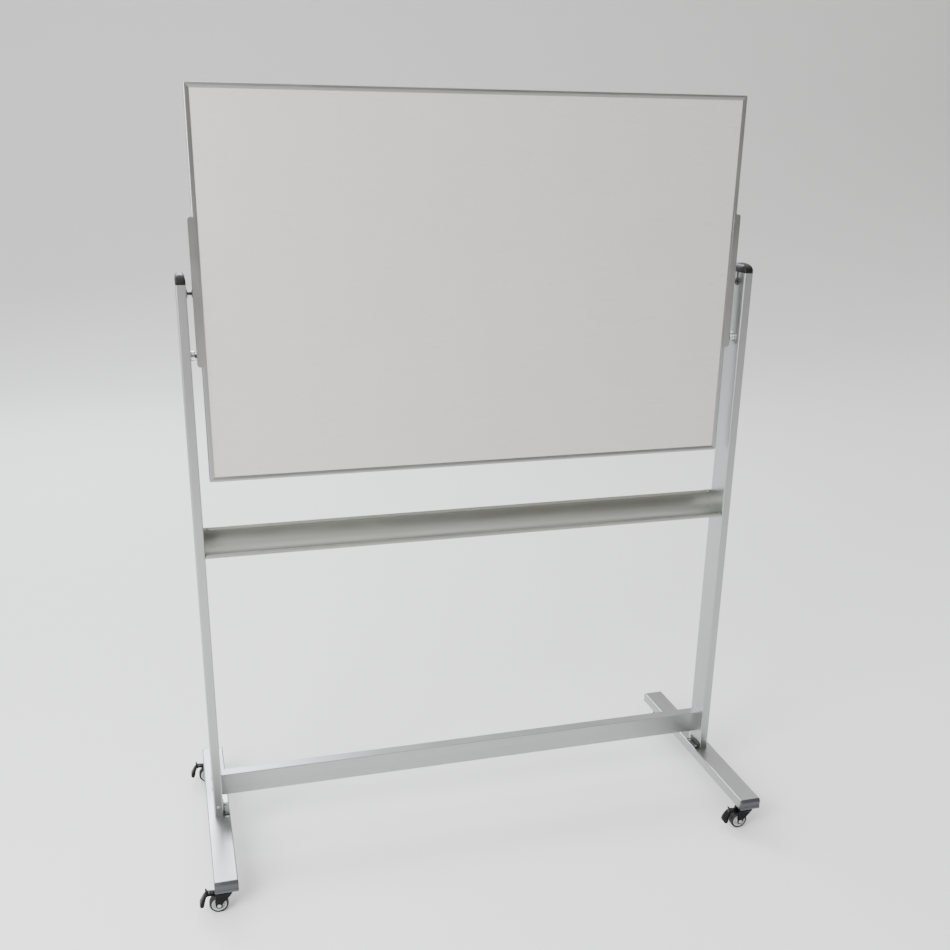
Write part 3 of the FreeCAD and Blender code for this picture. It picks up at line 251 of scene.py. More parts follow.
def prism(outline, start, end, place, edge=0.5, steps=3):
    """An outline carried straight from start to end, with a quarter round of radius edge at both ends.

    place turns (outline points, height along) into points in space.
    """
    quarter = np.linspace(0, np.pi / 2, steps + 1)
    shrink = edge * (1 - np.sin(quarter))
    depth = edge * (1 - np.cos(quarter))
    shrink = np.concatenate([shrink, shrink[::-1]])
    heights = np.concatenate([start + depth, end - depth[::-1]])
    return tube_of(np.stack([place(inset(outline, s), h) for s, h in zip(shrink, heights)]))


def across_x(outline, x):
    """Outline points are (y, z)."""
    return np.column_stack([np.full(len(outline), x), outline])


def across_y(outline, y):
    """Outline points are (x, z)."""
    return np.column_stack([outline[:, 0], np.full(len(outline), y), outline[:, 1]])


def across_z(outline, z):
    """Outline points are (x, y)."""
    return np.column_stack([outline, np.full(len(outline), z)])


def strip(path, half_width, half_thickness, place, round_steps=4):
    """A plate that follows a path, its cross-section a flat oval with round edges.

    The oval goes out along one face, half a turn round the edge, back along the other face and round
    again. half_width and half_thickness have one value for each point of the path.
    """
    slope = np.gradient(path, axis=0)
    slope /= np.linalg.norm(slope, axis=1, keepdims=True)
    normal = np.stack([-slope[:, 1], slope[:, 0]], 1)
    turn = np.linspace(-np.pi / 2, np.pi / 2, round_steps + 1)
    sideways = np.concatenate([np.ones(round_steps + 1), -np.ones(round_steps + 1)])
    bulge = np.concatenate([np.cos(turn), -np.cos(turn)])
    lift = np.concatenate([np.sin(turn), -np.sin(turn)])
    flat = (half_width - half_thickness)[:, None] * sideways
    across = flat + half_thickness[:, None] * bulge
    off = half_thickness[:, None] * lift
    points = path[:, None] + normal[:, None] * off[..., None]
    return tube_of(place(points, across))


# ---------------------------------------------------------------- pieces
def piece(name, patches, body, slot_name, material, nodes):
    """Makes one object of closed surfaces: doubles merged, faces outwards, sharp edges kept sharp."""
    starts = np.cumsum([0] + [len(points) for points, _ in patches])
    points = np.concatenate([points for points, _ in patches]) * MM
    faces = [[index + start for index in face] for (_, rows), start in zip(patches, starts) for face in rows]
    mesh = bpy.data.meshes.new(name)
    mesh.from_pydata(points.tolist(), [], faces)
    shape = bmesh.new()
    shape.from_mesh(mesh)
    bmesh.ops.remove_doubles(shape, verts=shape.verts, dist=1e-6)
    bmesh.ops.recalc_face_normals(shape, faces=shape.faces)
    shape.to_mesh(mesh)
    shape.free()
    mesh.shade_smooth()
    mesh.set_sharp_from_angle(angle=SHARP_ANGLE)
    mesh.materials.append(material)
    made = bpy.data.objects.new(name, mesh)
    bpy.context.scene.collection.objects.link(made)
    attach(made, body)
    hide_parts(*nodes)


def finish(material, *nodes):
    """Gives CAD nodes a material in place of the one they came with."""
    for name in nodes:
        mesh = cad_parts[name].data
        mesh.materials.clear()
        mesh.materials.append(material)


# ---------------------------------------------------------------- materials
def add_node(material, kind, settings=None, links=None):
    """Adds a node: settings are its properties and input values, links join outputs to its inputs."""
    node = material.node_tree.nodes.new(kind)
    for key, value in (settings or {}).items():
        if isinstance(key, str) and hasattr(node, key):
            setattr(node, key, value)
        else:
            node.inputs[key].default_value = value
    for key, (source, output) in (links or {}).items():
        material.node_tree.links.new(source.outputs[output], node.inputs[key])
    return node


def blank(name):
    """A new material and its shader node."""
    material = bpy.data.materials.new(name)
    material.use_nodes = True
    return material, material.node_tree.nodes["Principled BSDF"]


def shade(colour_value, factor):
    """A lighter or darker colour, with full opacity."""
    return (*[min(1.0, channel * factor) for channel in colour_value], 1.0)


def tinted(material, shader, source, colour_value, spread):
    """Colours the shader between a darker and a lighter tone of one colour, by a pattern."""
    ramp = add_node(material, "ShaderNodeValToRGB", links={"Fac": (source, "Fac")})
    ramp.color_ramp.elements[0].position = 0.3
    ramp.color_ramp.elements[1].position = 0.7
    ramp.color_ramp.elements[0].color = shade(colour_value, 1 - spread)
    ramp.color_ramp.elements[1].color = shade(colour_value, 1 + spread)
    material.node_tree.links.new(ramp.outputs["Color"], shader.inputs["Base Color"])


def roughened(material, shader, source, least, most):
    """Lets a pattern move the roughness between two values."""
    spread = add_node(
        material,
        "ShaderNodeMapRange",
        {"From Min": 0.3, "From Max": 0.7, "To Min": least, "To Max": most},
        {"Value": (source, "Fac")},
    )
    material.node_tree.links.new(spread.outputs["Result"], shader.inputs["Roughness"])


def bumped(material, shader, source, height):
    """Raises the surface by a pattern, whose full height is in millimetres."""
    settings = {"Distance": height * MM, "Strength": 1.0}
    bump = add_node(material, "ShaderNodeBump", settings, {"Height": (source, "Fac")})
    material.node_tree.links.new(bump.outputs["Normal"], shader.inputs["Normal"])


def pattern(material, width, detail=2.0, stretch=(1, 1, 1)):
    """Noise whose features are about width millimetres across, longer along an axis by its stretch."""
    place = add_node(material, "ShaderNodeTexCoord")
    scale = [1 / (width * MM) / factor for factor in stretch]
    spread = add_node(material, "ShaderNodeMapping", {"Scale": scale}, {"Vector": (place, "Object")})
    settings = {"Scale": 1.0, "Detail": detail}
    return add_node(material, "ShaderNodeTexNoise", settings, {"Vector": (spread, "Vector")})


def anodised_aluminium(name, tone, along, roughness=0.34):
    """Extruded aluminium, etched and silver anodised: satin, with faint die lines along its length.

    Real die lines are about 0.3 mm apart. They are drawn 1.5 mm apart so that they show.
    """
    material, shader = blank(name)
    shader.inputs["Metallic"].default_value = 1.0
    stretch = [400 if axis == along else 1 for axis in "xyz"]
    lines = pattern(material, 1.5, 3.0, stretch)
    tinted(material, shader, lines, tone, 0.035)
    clouds = pattern(material, 60, 2.0, [3 if axis == along else 1 for axis in "xyz"])
    roughened(material, shader, clouds, roughness - 0.04, roughness + 0.06)
    bumped(material, shader, lines, 0.006)
    return material


def enamelled_steel(name, tone):
    """Steel sheet with a baked white enamel: smooth and half glossy, with a slight orange peel.

    Wiped-off ink leaves faint clouds about 150 mm across. Orange peel is drawn 6 mm across.
    """
    material, shader = blank(name)
    shader.inputs["IOR"].default_value = 1.5
    shader.inputs["Coat Weight"].default_value = 0.25
    shader.inputs["Coat Roughness"].default_value = 0.18
    clouds = pattern(material, 150, 3.0, (1.6, 1, 1))
    tinted(material, shader, clouds, tone, 0.012)
    wipes = pattern(material, 60, 2.0, (3, 1, 1))
    roughened(material, shader, wipes, 0.24, 0.34)
    peel = pattern(material, 6, 1.0)
    bumped(material, shader, peel, 0.01)
    return material


def moulded_plastic(name, tone, roughness, grain, height, sheen=0.5):
    """Injection-moulded ABS or nylon: one colour all through, with a fine spark-eroded grain."""
    material, shader = blank(name)
    shader.inputs["IOR"].default_value = 1.53
    shader.inputs["Specular IOR Level"].default_value = sheen
    spots = pattern(material, grain, 2.0)
    tinted(material, shader, spots, tone, 0.06)
    patches = pattern(material, 9, 2.0)
    roughened(material, shader, patches, roughness - 0.05, roughness + 0.08)
    bumped(material, shader, spots, height)
    return material


def moulded_rubber(name, tone):
    """Black thermoplastic rubber: matt, dusty on the tread, with a coarse grain about 0.8 mm across."""
    material, shader = blank(name)
    shader.inputs["IOR"].default_value = 1.52
    dust = pattern(material, 5, 4.0)
    tinted(material, shader, dust, tone, 0.3)
    grain = pattern(material, 0.8, 2.0)
    roughened(material, shader, grain, 0.55, 0.75)
    bumped(material, shader, grain, 0.03)
    return material


def plated_steel(name, code, roughness):
    """Steel with a bright zinc or chromium plating: mirror-like, slightly uneven from the barrel."""
    material, shader = blank(name)
    shader.inputs["Metallic"].default_value = 1.0
    blooms = pattern(material, 3, 3.0)
    tinted(material, shader, blooms, linear(code), 0.06)
    roughened(material, shader, blooms, roughness, roughness + 0.12)
    bumped(material, shader, blooms, 0.01)
    return material


def pressed_fibreboard(name):
    """Hardboard: brown wood fibres pressed flat, each about 0.6 mm wide and 4 mm long."""
    material, shader = blank(name)
    fibres = pattern(material, 0.6, 4.0, (7, 1, 7))
    tinted(material, shader, fibres, linear("#8A6A48"), 0.2)
    roughened(material, shader, fibres, 0.7, 0.9)
    bumped(material, shader, fibres, 0.05)
    return material


def finishes(context):
    """All materials by name, made once and then found again."""
    tones = context.scene.whiteboard_colours
    makers = {
        "anodised_posts": lambda name: anodised_aluminium(name, tones.aluminium, "z"),
        "anodised_feet": lambda name: anodised_aluminium(name, tones.aluminium, "y"),
        "anodised_bars": lambda name: anodised_aluminium(name, tones.aluminium, "x"),
        "anodised_tray": lambda name: anodised_aluminium(name, tones.tray, "x", 0.38),
        "enamelled_steel": lambda name: enamelled_steel(name, tones.enamel),
        "black_abs": lambda name: moulded_plastic(name, tones.black_plastic, 0.4, 0.7, 0.01, 0.25),
        # The end caps' dark tone is partly painted reflection
        "grey_abs": lambda name: moulded_plastic(name, tones.grey_plastic, 0.34, 0.7, 0.0015, 0.6),
        "black_nylon": lambda name: moulded_plastic(name, tones.caster_plastic, 0.3, 0.6, 0.004, 0.14),
        "wheel_polypropylene": lambda name: moulded_plastic(name, tones.wheel_plastic, 0.35, 0.7, 0.01),
        "moulded_rubber": lambda name: moulded_rubber(name, tones.rubber),
        "chromium_plate": lambda name: plated_steel(name, "#D8D9DB", 0.08),
        "zinc_plate": lambda name: plated_steel(name, "#B4B6B8", 0.24),
        # Dark tone: partly a dark zinc plating, partly painted shade for the shadow on the feet beside the
        # posts and in the post slots round the pivot pins
        "dark_zinc_plate": lambda name: plated_steel(name, "#565654", 0.4),
        "anodised_brackets": lambda name: anodised_aluminium(name, linear("#9C9C9A"), "z", 0.3),
        "pressed_fibreboard": pressed_fibreboard,
    }
    return {name: bpy.data.materials.get(name) or make(name) for name, make in makers.items()}


# ---------------------------------------------------------------- board
def rail_section(size, board_depth):
    """The rail's outline and its chamber as (distance in from the board's edge, y) points.

    Each face is crowned: it rounds over to the outside and slopes down to the writing face.
    """
    half = board_depth / 2
    lip = size.rail_face
    panel = 7.56  # half of the panel with the play round it
    wall, web_inner, chamber_end = 1.4, 7.2, 6.0
    crown, slope = 5.0, 1.0
    front = [(0, -half), (crown, -half), (lip, -half + slope), (lip, -panel), (web_inner, -panel)]
    radii = [size.rail_edge, 18, 0.35, 0.1, 0.1]
    outline = rounded(front + [(u, -y) for u, y in front[::-1]], radii + radii[::-1], 7)
    chamber_half = half - wall
    corners = [(wall, -chamber_half), (chamber_end, -chamber_half)]
    corners += [(chamber_end, chamber_half), (wall, chamber_half)]
    return outline, rounded(corners, 0.5, 2)


def carried_round(section, half_along, half_across, corner, along, outward, centre):
    """A section carried along one side of the board, following half of each rounded corner.

    A point that is inset by less than the corner's radius runs on an arc of the radius left over, up
    to the mitre at 45 degrees. Any other point runs straight to the mitre.
    """
    joint_gap = 0.04
    turn = np.radians(np.linspace(45, 0, 7))
    turn = np.concatenate([turn, turn[::-1]])[:, None]
    end = np.repeat([-1.0, 1.0], 7)[:, None]
    distance, y = section[:, 0], section[:, 1]
    spare = np.maximum(corner - distance, 0)
    reach = end * (half_along - joint_gap - np.maximum(corner, distance) + spare * np.sin(turn))
    depth = half_across - distance - spare * (1 - np.cos(turn))
    grid = reach[..., None] * np.array(along) + depth[..., None] * np.array(outward)
    grid[..., 1] += y
    return grid + np.array(centre)


class OBJECT_OT_board_frame(bpy.types.Operator):
    """Make the four mitred rails round the board"""

    bl_idname = "whiteboard.board_frame"
    bl_label = "Board Frame"

    def execute(self, context):
        size = sizes(context)
        finish_of = finishes(context)
        across, up = (high("top_rail", "x"), (high("top_rail", "z") - low("bottom_rail", "z")) / 2)
        centre = (0, 0, (high("top_rail", "z") + low("bottom_rail", "z")) / 2)
        outline, chamber = rail_section(size, high("top_rail", "y") - low("top_rail", "y"))
        rails = {
            "top_rail": (across, up, (1, 0, 0), (0, 0, 1), "anodised_bars"),
            "bottom_rail": (across, up, (1, 0, 0), (0, 0, -1), "anodised_bars"),
            "left_rail": (up, across, (0, 0, 1), (-1, 0, 0), "anodised_posts"),
            "right_rail": (up, across, (0, 0, 1), (1, 0, 0), "anodised_posts"),
        }
        for name, (half_along, half_across, along, outward, metal) in rails.items():
            rings = [
                carried_round(part, half_along, half_across, size.board_corner, along, outward, centre)
                for part in (outline, chamber)
            ]
            skins = [hollow_tube(*rings)]
            piece(f"{name}_extrusion", skins, "board", "frame_aluminium", finish_of[metal], [name])
        finish(finish_of["enamelled_steel"], "front_writing_sheet", "rear_writing_sheet")
        finish(finish_of["pressed_fibreboard"], "board_core")
        finish(finish_of["black_abs"], "corner_keys")
        return {"FINISHED"}


# ---------------------------------------------------------------- fixings
def hexagon_socket(radius, steps=48):
    """The radius of a hexagon at every angle; radius is measured across its flats, halved."""
    angle = np.linspace(0, FULL_TURN, steps, endpoint=False)
    return radius / np.cos(np.mod(angle, np.pi / 3) - np.pi / 6)


def cross_socket(radius, arm, steps=48):
    """The radius of a plus sign at every angle: whichever of its two bars reaches further."""
    angle = np.linspace(0, FULL_TURN, steps, endpoint=False) + 1e-4
    sine, cosine = np.abs(np.sin(angle)), np.abs(np.cos(angle))
    flat_bar = np.minimum(arm / sine, radius / cosine)
    upright_bar = np.minimum(arm / cosine, radius / sine)
    return np.maximum(flat_bar, upright_bar)


def screw(tip, axis, facing, radius, height, shank, reach, socket, depth):
    """A screw as rings round its axis: shank, bearing face, domed crown, socket wall and socket floor.

    The crown's height falls off as the square of the distance from the axis.
    """
    steps = len(socket)
    t = np.linspace(0, 1, 7)[:, None]
    crown_radius = radius * (1 - t) + socket * t
    crown_height = height * (0.45 + 0.55 * (1 - (crown_radius / radius) ** 2))
    level = np.ones(steps)
    rows = [
        (0 * level, -reach * level),
        (shank * level, -reach * level),
        (shank * level, 0 * level),
        ((radius - 0.15) * level, 0 * level),
        (radius * level, 0.15 * level),
        *zip(crown_radius, crown_height),
        (socket * 0.94, crown_height[-1] - depth),
        (0 * level, (crown_height[-1] - depth).min() * level),
    ]
    radii = np.stack([row[0] for row in rows])
    heights = np.stack([row[1] for row in rows])
    return turned(radii, heights, tip, axis, facing, steps)


def pan_head(tip, axis, facing, reach):
    """A pan-head screw of 4.2 mm with a cross recess."""
    return screw(tip, axis, facing, 3.8, 1.8, 2.1, reach, cross_socket(2.1, 0.6), 1.0)


class OBJECT_OT_fixings(bpy.types.Operator):
    """Make the screws and bolts with their drive recesses"""

    bl_idname = "whiteboard.fixings"
    bl_label = "Screws and Bolts"

    def execute(self, context):
        zinc = finishes(context)["zinc_plate"]
        flange_y = high("left_pivot_bracket", "y")
        pivot_z = middle("left_pivot_bracket")[2]
        inset_x, reach = 4.5, 110
        edge_x = high("top_rail", "x") - inset_x
        bracket_screws = [
            pan_head((side * edge_x, flange_y, pivot_z + level * reach), "y", 1, 7)
            for _, side in SIDES
            for level in (-1, 1)
        ]
        piece("bracket_pan_screws", bracket_screws, "board", "zinc_steel", zinc, ["bracket_screws"])

        post_x, foot_top = middle("right_post")[0], high("right_foot", "z")
        bracket_y = middle("right_base_bracket")[1]
        leg_x = middle("right_base_bracket")[0]
        rise, leg_thickness, half_spacing = 24, 2.5, 16
        base = []
        for _, side in SIDES:
            base.append(pan_head((side * post_x, low("right_post", "y"), foot_top + rise), "y", -1, 14))
            for offset in (-half_spacing, half_spacing):
                place = (side * leg_x, bracket_y + offset, foot_top + leg_thickness)
                base.append(pan_head(place, "z", 1, 9))
        piece("base_pan_screws", base, "stand", "zinc_steel", zinc, ["base_screws"])

        tray_end = high("pen_tray", "x")
        tray_top, rear = high("pen_tray", "z"), high("pen_tray", "y")
        ear_y, ear_drop = 24, 42
        band_depth, band_drop, band_inset = 3.2, 3.5, 8
        tray = []
        for _, side in SIDES:
            tray.append(pan_head((side * tray_end, ear_y, tray_top - ear_drop), "x", -side, 8))
            place = (side * (tray_end - band_inset), rear - band_depth, tray_top - band_drop)
            tray.append(pan_head(place, "y", -1, 7))
        piece("tray_pan_screws", tray, "stand", "zinc_steel", zinc, ["tray_screws"])

        outer_x = high("right_post", "x")
        bar = middle("crossbar")
        half_spacing, socket = 15, hexagon_socket(2)
        bolts = [
            screw((side * outer_x, bar[1], bar[2] + offset), "x", side, 5.5, 2.2, 3, 40, socket, 1.4)
            for _, side in SIDES
            for offset in (-half_spacing, half_spacing)
        ]
        piece("socket_bolts", bolts, "stand", "zinc_steel", zinc, ["crossbar_bolts"])
        finish(zinc, "pivot_nuts", "left_catch_spring", "right_catch_spring", "caster_stems")
        return {"FINISHED"}


# ---------------------------------------------------------------- stand
def domed_cap(size, x, top, half_x, half_y, corner):
    """A band and a dome: rings of the post's outline that close in as they rise.

    At height h of the rise the rings' width is (1 - h^p)^(1/p). The power is larger across the post
    than along it, so the dome is blunt across and round along.
    """
    across_power, along_power = 2.5, 2.1
    climb = np.sin(np.linspace(0, np.pi / 2, 22))
    width = (1 - climb**across_power) ** (1 / across_power)
    depth = (1 - climb**along_power) ** (1 / along_power)
    step = size.cap_band + np.array([-1.0, -0.6, -0.2])
    heights = np.concatenate([[0, 0.4], step, size.cap_band + climb * size.cap_rise])
    width = np.concatenate([[0.97, 1, 1, 0.94, 0.94], width])
    depth = np.concatenate([[0.99, 1, 1, 0.98, 0.98], depth])
    outline = rounded_rectangle(half_x, half_y, corner, 8)
    across, along = x + outline[:, 0] * width[:, None], outline[:, 1] * depth[:, None]
    grid = np.stack([across, along, np.broadcast_to(top + heights[:, None], across.shape)], -1)
    points, faces = tube_of(grid, capped=False)
    base = [Vector(point) for point in grid[0]]
    return points, faces + [list(face) for face in tessellate_polygon([base])]


def end_cap(x, start, face, bottom, top, half_width, corner):
    """A foot's end cap as a stack of level slices, each a rectangle with two rounded outer corners.

    The slices' width follows the rounded corners of the foot, and their depth follows the cap's
    profile: a rounded lower lip, a shallow band set back between two ridges and a long upper slope.
    """
    heights = [0, 0.4, 1.2, 2.0, 6.2, 6.8, 7.4, 8.0, 14.6, 15.2, 15.8, 16.4, 20.4, 21.0, 26.6, 27.0]
    depths = [4.9, 5.5, 5.9, 6.0, 6.0, 5.8, 4.7, 4.5, 4.5, 4.7, 5.8, 6.0, 6.0, 5.7, 2.1, 1.7]
    quarter = np.linspace(0, np.pi / 2, 7)
    arc = corner * (1 - np.cos(quarter))
    level = np.unique(np.round(np.concatenate([heights, arc, top - bottom - arc]), 3))
    depth = np.interp(level, heights, depths)
    miss = np.maximum(corner - np.minimum(level, top - bottom - level), 0)
    width = half_width - corner + np.sqrt(np.maximum(corner**2 - miss**2, 0))
    ease = 1.2
    turn = np.linspace(0, np.pi / 2, 5)
    unit_x = np.concatenate([np.cos(turn), -np.cos(turn[::-1]), [-1, 1]])
    unit_y = np.concatenate([np.sin(turn), np.sin(turn[::-1]), [0, 0]])
    sign_x = np.sign(unit_x + 1e-9 * np.array([1] * 5 + [-1] * 5 + [-1, 1]))
    on_front = np.array([1] * 10 + [0, 0])
    across = sign_x * (width[:, None] - ease * on_front) + ease * on_front * unit_x
    out = on_front * (depth[:, None] - ease + ease * unit_y)
    tall = np.broadcast_to((bottom + level)[:, None], across.shape)
    return tube_of(np.stack([x + across, start + face * out, tall], -1))


class OBJECT_OT_stand(bpy.types.Operator):
    """Finish the posts, feet and crossbar, and make their caps"""

    bl_idname = "whiteboard.stand"
    bl_label = "Stand"

    def execute(self, context):
        size = sizes(context)
        finish_of = finishes(context)
        finish(finish_of["anodised_posts"], "left_post", "right_post")
        finish(finish_of["anodised_feet"], "left_foot", "right_foot")
        finish(finish_of["anodised_bars"], "crossbar")
        # The base brackets' dark tone is partly painted shade for the shadow on the feet beside the posts
        finish(finish_of["dark_zinc_plate"], "left_base_bracket", "right_base_bracket")
        finish(finish_of["black_abs"], "base_plugs", "crossbar_end_plugs")
        for side_name, side in SIDES:
            post, foot = f"{side_name}_post", f"{side_name}_foot"
            x, top = middle(post)[0], high(post, "z")
            wall_play, foot_wall_play, plug_depth = 2.0, 2.2, 12
            half_x, half_y = (high(post, "x") - low(post, "x")) / 2, high(post, "y")
            tongue_x = x - side * (half_x - 0.9)
            tongue_low = low(f"{side_name}_post_cap", "z")
            tongue = rounded([(-3.5, tongue_low), (3.5, tongue_low), (3.5, top + 1), (-3.5, top + 1)], 0.3, 2)
            plug = rounded_rectangle(half_x - wall_play, half_y - wall_play, 1)
            plug[:, 0] += x
            patches = [
                domed_cap(size, x, top, half_x, half_y, 3),
                prism(tongue, tongue_x - 0.9, tongue_x + 0.9, across_x, 0.2, 1),
                prism(plug, top - plug_depth, top + 1, across_z, 0.4, 1),
            ]
            black = finish_of["black_abs"]
            piece(f"{side_name}_domed_cap", patches, "stand", "black_plastic", black, [f"{post}_cap"])

            half_width = (high(foot, "x") - low(foot, "x")) / 2
            bottom, foot_top = low(foot, "z"), high(foot, "z")
            patches = []
            for face in (-1, 1):
                patches.append(end_cap(x, face * high(foot, "y"), face, bottom, foot_top, half_width, 3))
                half_height = (foot_top - bottom) / 2
                inside = rounded_rectangle(half_width - foot_wall_play, half_height - foot_wall_play, 1)
                inside += (x, (foot_top + bottom) / 2)
                ends = sorted([face * (high(foot, "y") - 8), face * (high(foot, "y") + 1)])
                patches.append(prism(inside, *ends, across_y, 0.4, 1))
            grey = finish_of["grey_abs"]
            piece(f"{foot}_caps", patches, "stand", "grey_plastic", grey, [f"{foot}_end_caps"])
        return {"FINISHED"}


def tray_section(size, top, front, rear):
    """The tray's outline as (y, z) points: a rear band, a scoop, a flat floor and a beaded front lip."""
    centre_y = rear - size.tray_radius
    outer, inner = size.tray_radius, size.tray_radius - size.tray_wall
    floor_low, floor_high = top - outer, top - inner
    band_front, band_low = rear - 3.2, top - size.tray_band
    outer_turn = np.linspace(np.radians(-8), np.radians(-90), 40)
    under = np.column_stack([centre_y + outer * np.cos(outer_turn), top + outer * np.sin(outer_turn)])
    groove = band_low - 1.2
    inner_turn = np.linspace(np.radians(-90), -np.arcsin((top - groove) / inner), 40)
    scoop = np.column_stack([centre_y + inner * np.cos(inner_turn), top + inner * np.sin(inner_turn)])
    bead_radius, bead_z = 1.6, floor_low + size.tray_lip - 0.4
    bead_turn = np.linspace(np.radians(180), np.radians(-60), 12)
    bead = np.column_stack([bead_radius * np.cos(bead_turn), bead_radius * np.sin(bead_turn)])
    bead += (front + bead_radius, bead_z)
    lip_inner = front + size.tray_wall
    fillet = rounded([(lip_inner, bead_z), (lip_inner, floor_high), (centre_y, floor_high)], [0, 4.5, 0])
    heel = rounded([(centre_y, floor_low), (front, floor_low), (front, bead_z)], [0, 1.6, 0])
    keep_fillet = fillet[(fillet[:, 1] < bead_z - 1) & (fillet[:, 0] < centre_y - 1)]
    keep_heel = heel[(heel[:, 1] < bead_z - 1) & (heel[:, 0] < centre_y - 1)]
    notch = [(rear - 1.5, groove + 0.1), (rear - 1.5, band_low + 0.1)]
    corners = [(band_front, band_low), (band_front, top), (rear, top), (rear, band_low - 1)]
    band = rounded(corners + [(rear - 1.5, band_low)], [0.3, 0.7, 0.7, 0, 0])
    keep_band = band[band[:, 1] > band_low - 0.5]
    return np.concatenate([under, keep_heel, bead, keep_fillet, scoop, notch, keep_band])


class OBJECT_OT_pen_tray(bpy.types.Operator):
    """Make the pen tray by carrying its section from post to post"""

    bl_idname = "whiteboard.pen_tray"
    bl_label = "Pen Tray"

    def execute(self, context):
        size = sizes(context)
        metal = finishes(context)["anodised_tray"]
        section = tray_section(size, high("pen_tray", "z"), low("pen_tray", "y"), high("pen_tray", "y"))
        ends = np.array([low("pen_tray", "x"), high("pen_tray", "x")])
        grid = np.stack([across_x(section, x) for x in np.linspace(*ends, 9)])
        piece("pen_tray_extrusion", [tube_of(grid)], "stand", "tray_aluminium", metal, ["pen_tray"])
        finish(metal, "left_tray_end_cap", "right_tray_end_cap")
        return {"FINISHED"}


# ---------------------------------------------------------------- pivots and catches
class OBJECT_OT_pivots(bpy.types.Operator):
    """Make the pivot pins, their bushes and the sprung catches"""

    bl_idname = "whiteboard.pivots"
    bl_label = "Pivots and Catches"

    def execute(self, context):
        finish_of = finishes(context)
        pivot_z = middle("left_pivot_bracket")[2]
        catch_z = middle("left_catch_barrel")[2]
        web_x = high("right_pivot_bracket", "x")
        post_x = low("right_post", "x")
        web, play, head, collar, post_wall, thread = 2.5, 0.3, 3, 2, 1.8, 7
        head_end, stem_end = web_x - web - play, post_x + post_wall + thread
        head_start, collar_start = head_end - head, post_x - collar
        pin = rounded(
            [(0, head_start), (7, head_start), (7, head_end), (3.5, head_end), (3.5, collar_start)]
            + [(9, collar_start), (9, post_x), (3.5, post_x), (3.5, stem_end), (0, stem_end)],
            [0, 0.5, 0.5, 0.2, 0.2, 0.6, 0.3, 0, 0.4, 0],
        )
        bush = rounded(
            [(3.55, web_x - web), (5.05, web_x - web), (5.05, web_x), (8, web_x)]
            + [(8, web_x + 1.2), (3.55, web_x + 1.2)],
            [0.1, 0.1, 0, 0.3, 0.4, 0.2],
            3,
        )
        face = post_x - 9
        barrel = rounded(
            [(4.05, face), (7.6, face), (8.0, face + 0.6), (8.6, face + 0.6), (9.0, face), (11, face)]
            + [(11, post_x - 2.2), (10.4, post_x - 1.8), (11, post_x - 1.4), (11, post_x), (7.5, post_x)]
            + [(7.5, post_x + 14), (0, post_x + 14), (0, post_x + 12.5), (5.3, post_x + 12.5)]
            + [(5.3, face + 3.5), (4.05, face + 3.5)],
            [0.4, 0.2, 0.1, 0.1, 0.2, 1.3, 0.2, 0.2, 0.2, 0.4, 0, 0.6, 0, 0, 0, 0, 0],
        )
        tip = web_x - 1.5
        collar_start, collar_end = face + 3.8, face + 6.8
        plunger = rounded(
            [(0, tip), (2.4, tip), (4, tip + 1.5), (4, collar_start), (5, collar_start)]
            + [(5, collar_end), (0, collar_end)],
            [0, 0.6, 0.6, 0, 0.2, 0.2, 0],
        )

        def on_both_sides(outline, z):
            return [turned_outline(outline, (0, 0, z), "x", side, loop=True) for _, side in SIDES]

        # The pins' dark tone is partly painted shade for the shadow in the post slots
        steel, chrome = finish_of["dark_zinc_plate"], finish_of["chromium_plate"]
        black = finish_of["black_abs"]
        pins, bushes = on_both_sides(pin, pivot_z), on_both_sides(bush, pivot_z)
        piece("turned_pivot_pins", pins, "stand", "zinc_steel", steel, ["pivot_pins"])
        piece("flanged_bushes", bushes, "board", "black_plastic", black, ["pivot_bushes"])
        turned_catches = zip(SIDES, on_both_sides(barrel, catch_z), on_both_sides(plunger, catch_z))
        for (side_name, _), cup, point in turned_catches:
            catch = f"{side_name}_catch"
            piece(f"{catch}_cup", [cup], "stand", "chrome", chrome, [f"{catch}_barrel"])
            piece(f"{catch}_pointed_plunger", [point], catch, "black_plastic", black, [f"{catch}_plunger"])
        finish(finish_of["anodised_brackets"], "left_pivot_bracket", "right_pivot_bracket")
        return {"FINISHED"}


# ---------------------------------------------------------------- casters
def caster_places(name):
    """The stem's x and y, the side its wheel trails to, and the axle's x and z."""
    foot = "left_foot" if name.endswith("left") else "right_foot"
    axle = middle(f"{name}_wheel_core")
    stem_x = middle(foot)[0]
    return stem_x, axle[1], np.sign(axle[0] - stem_x), axle[0], axle[2]


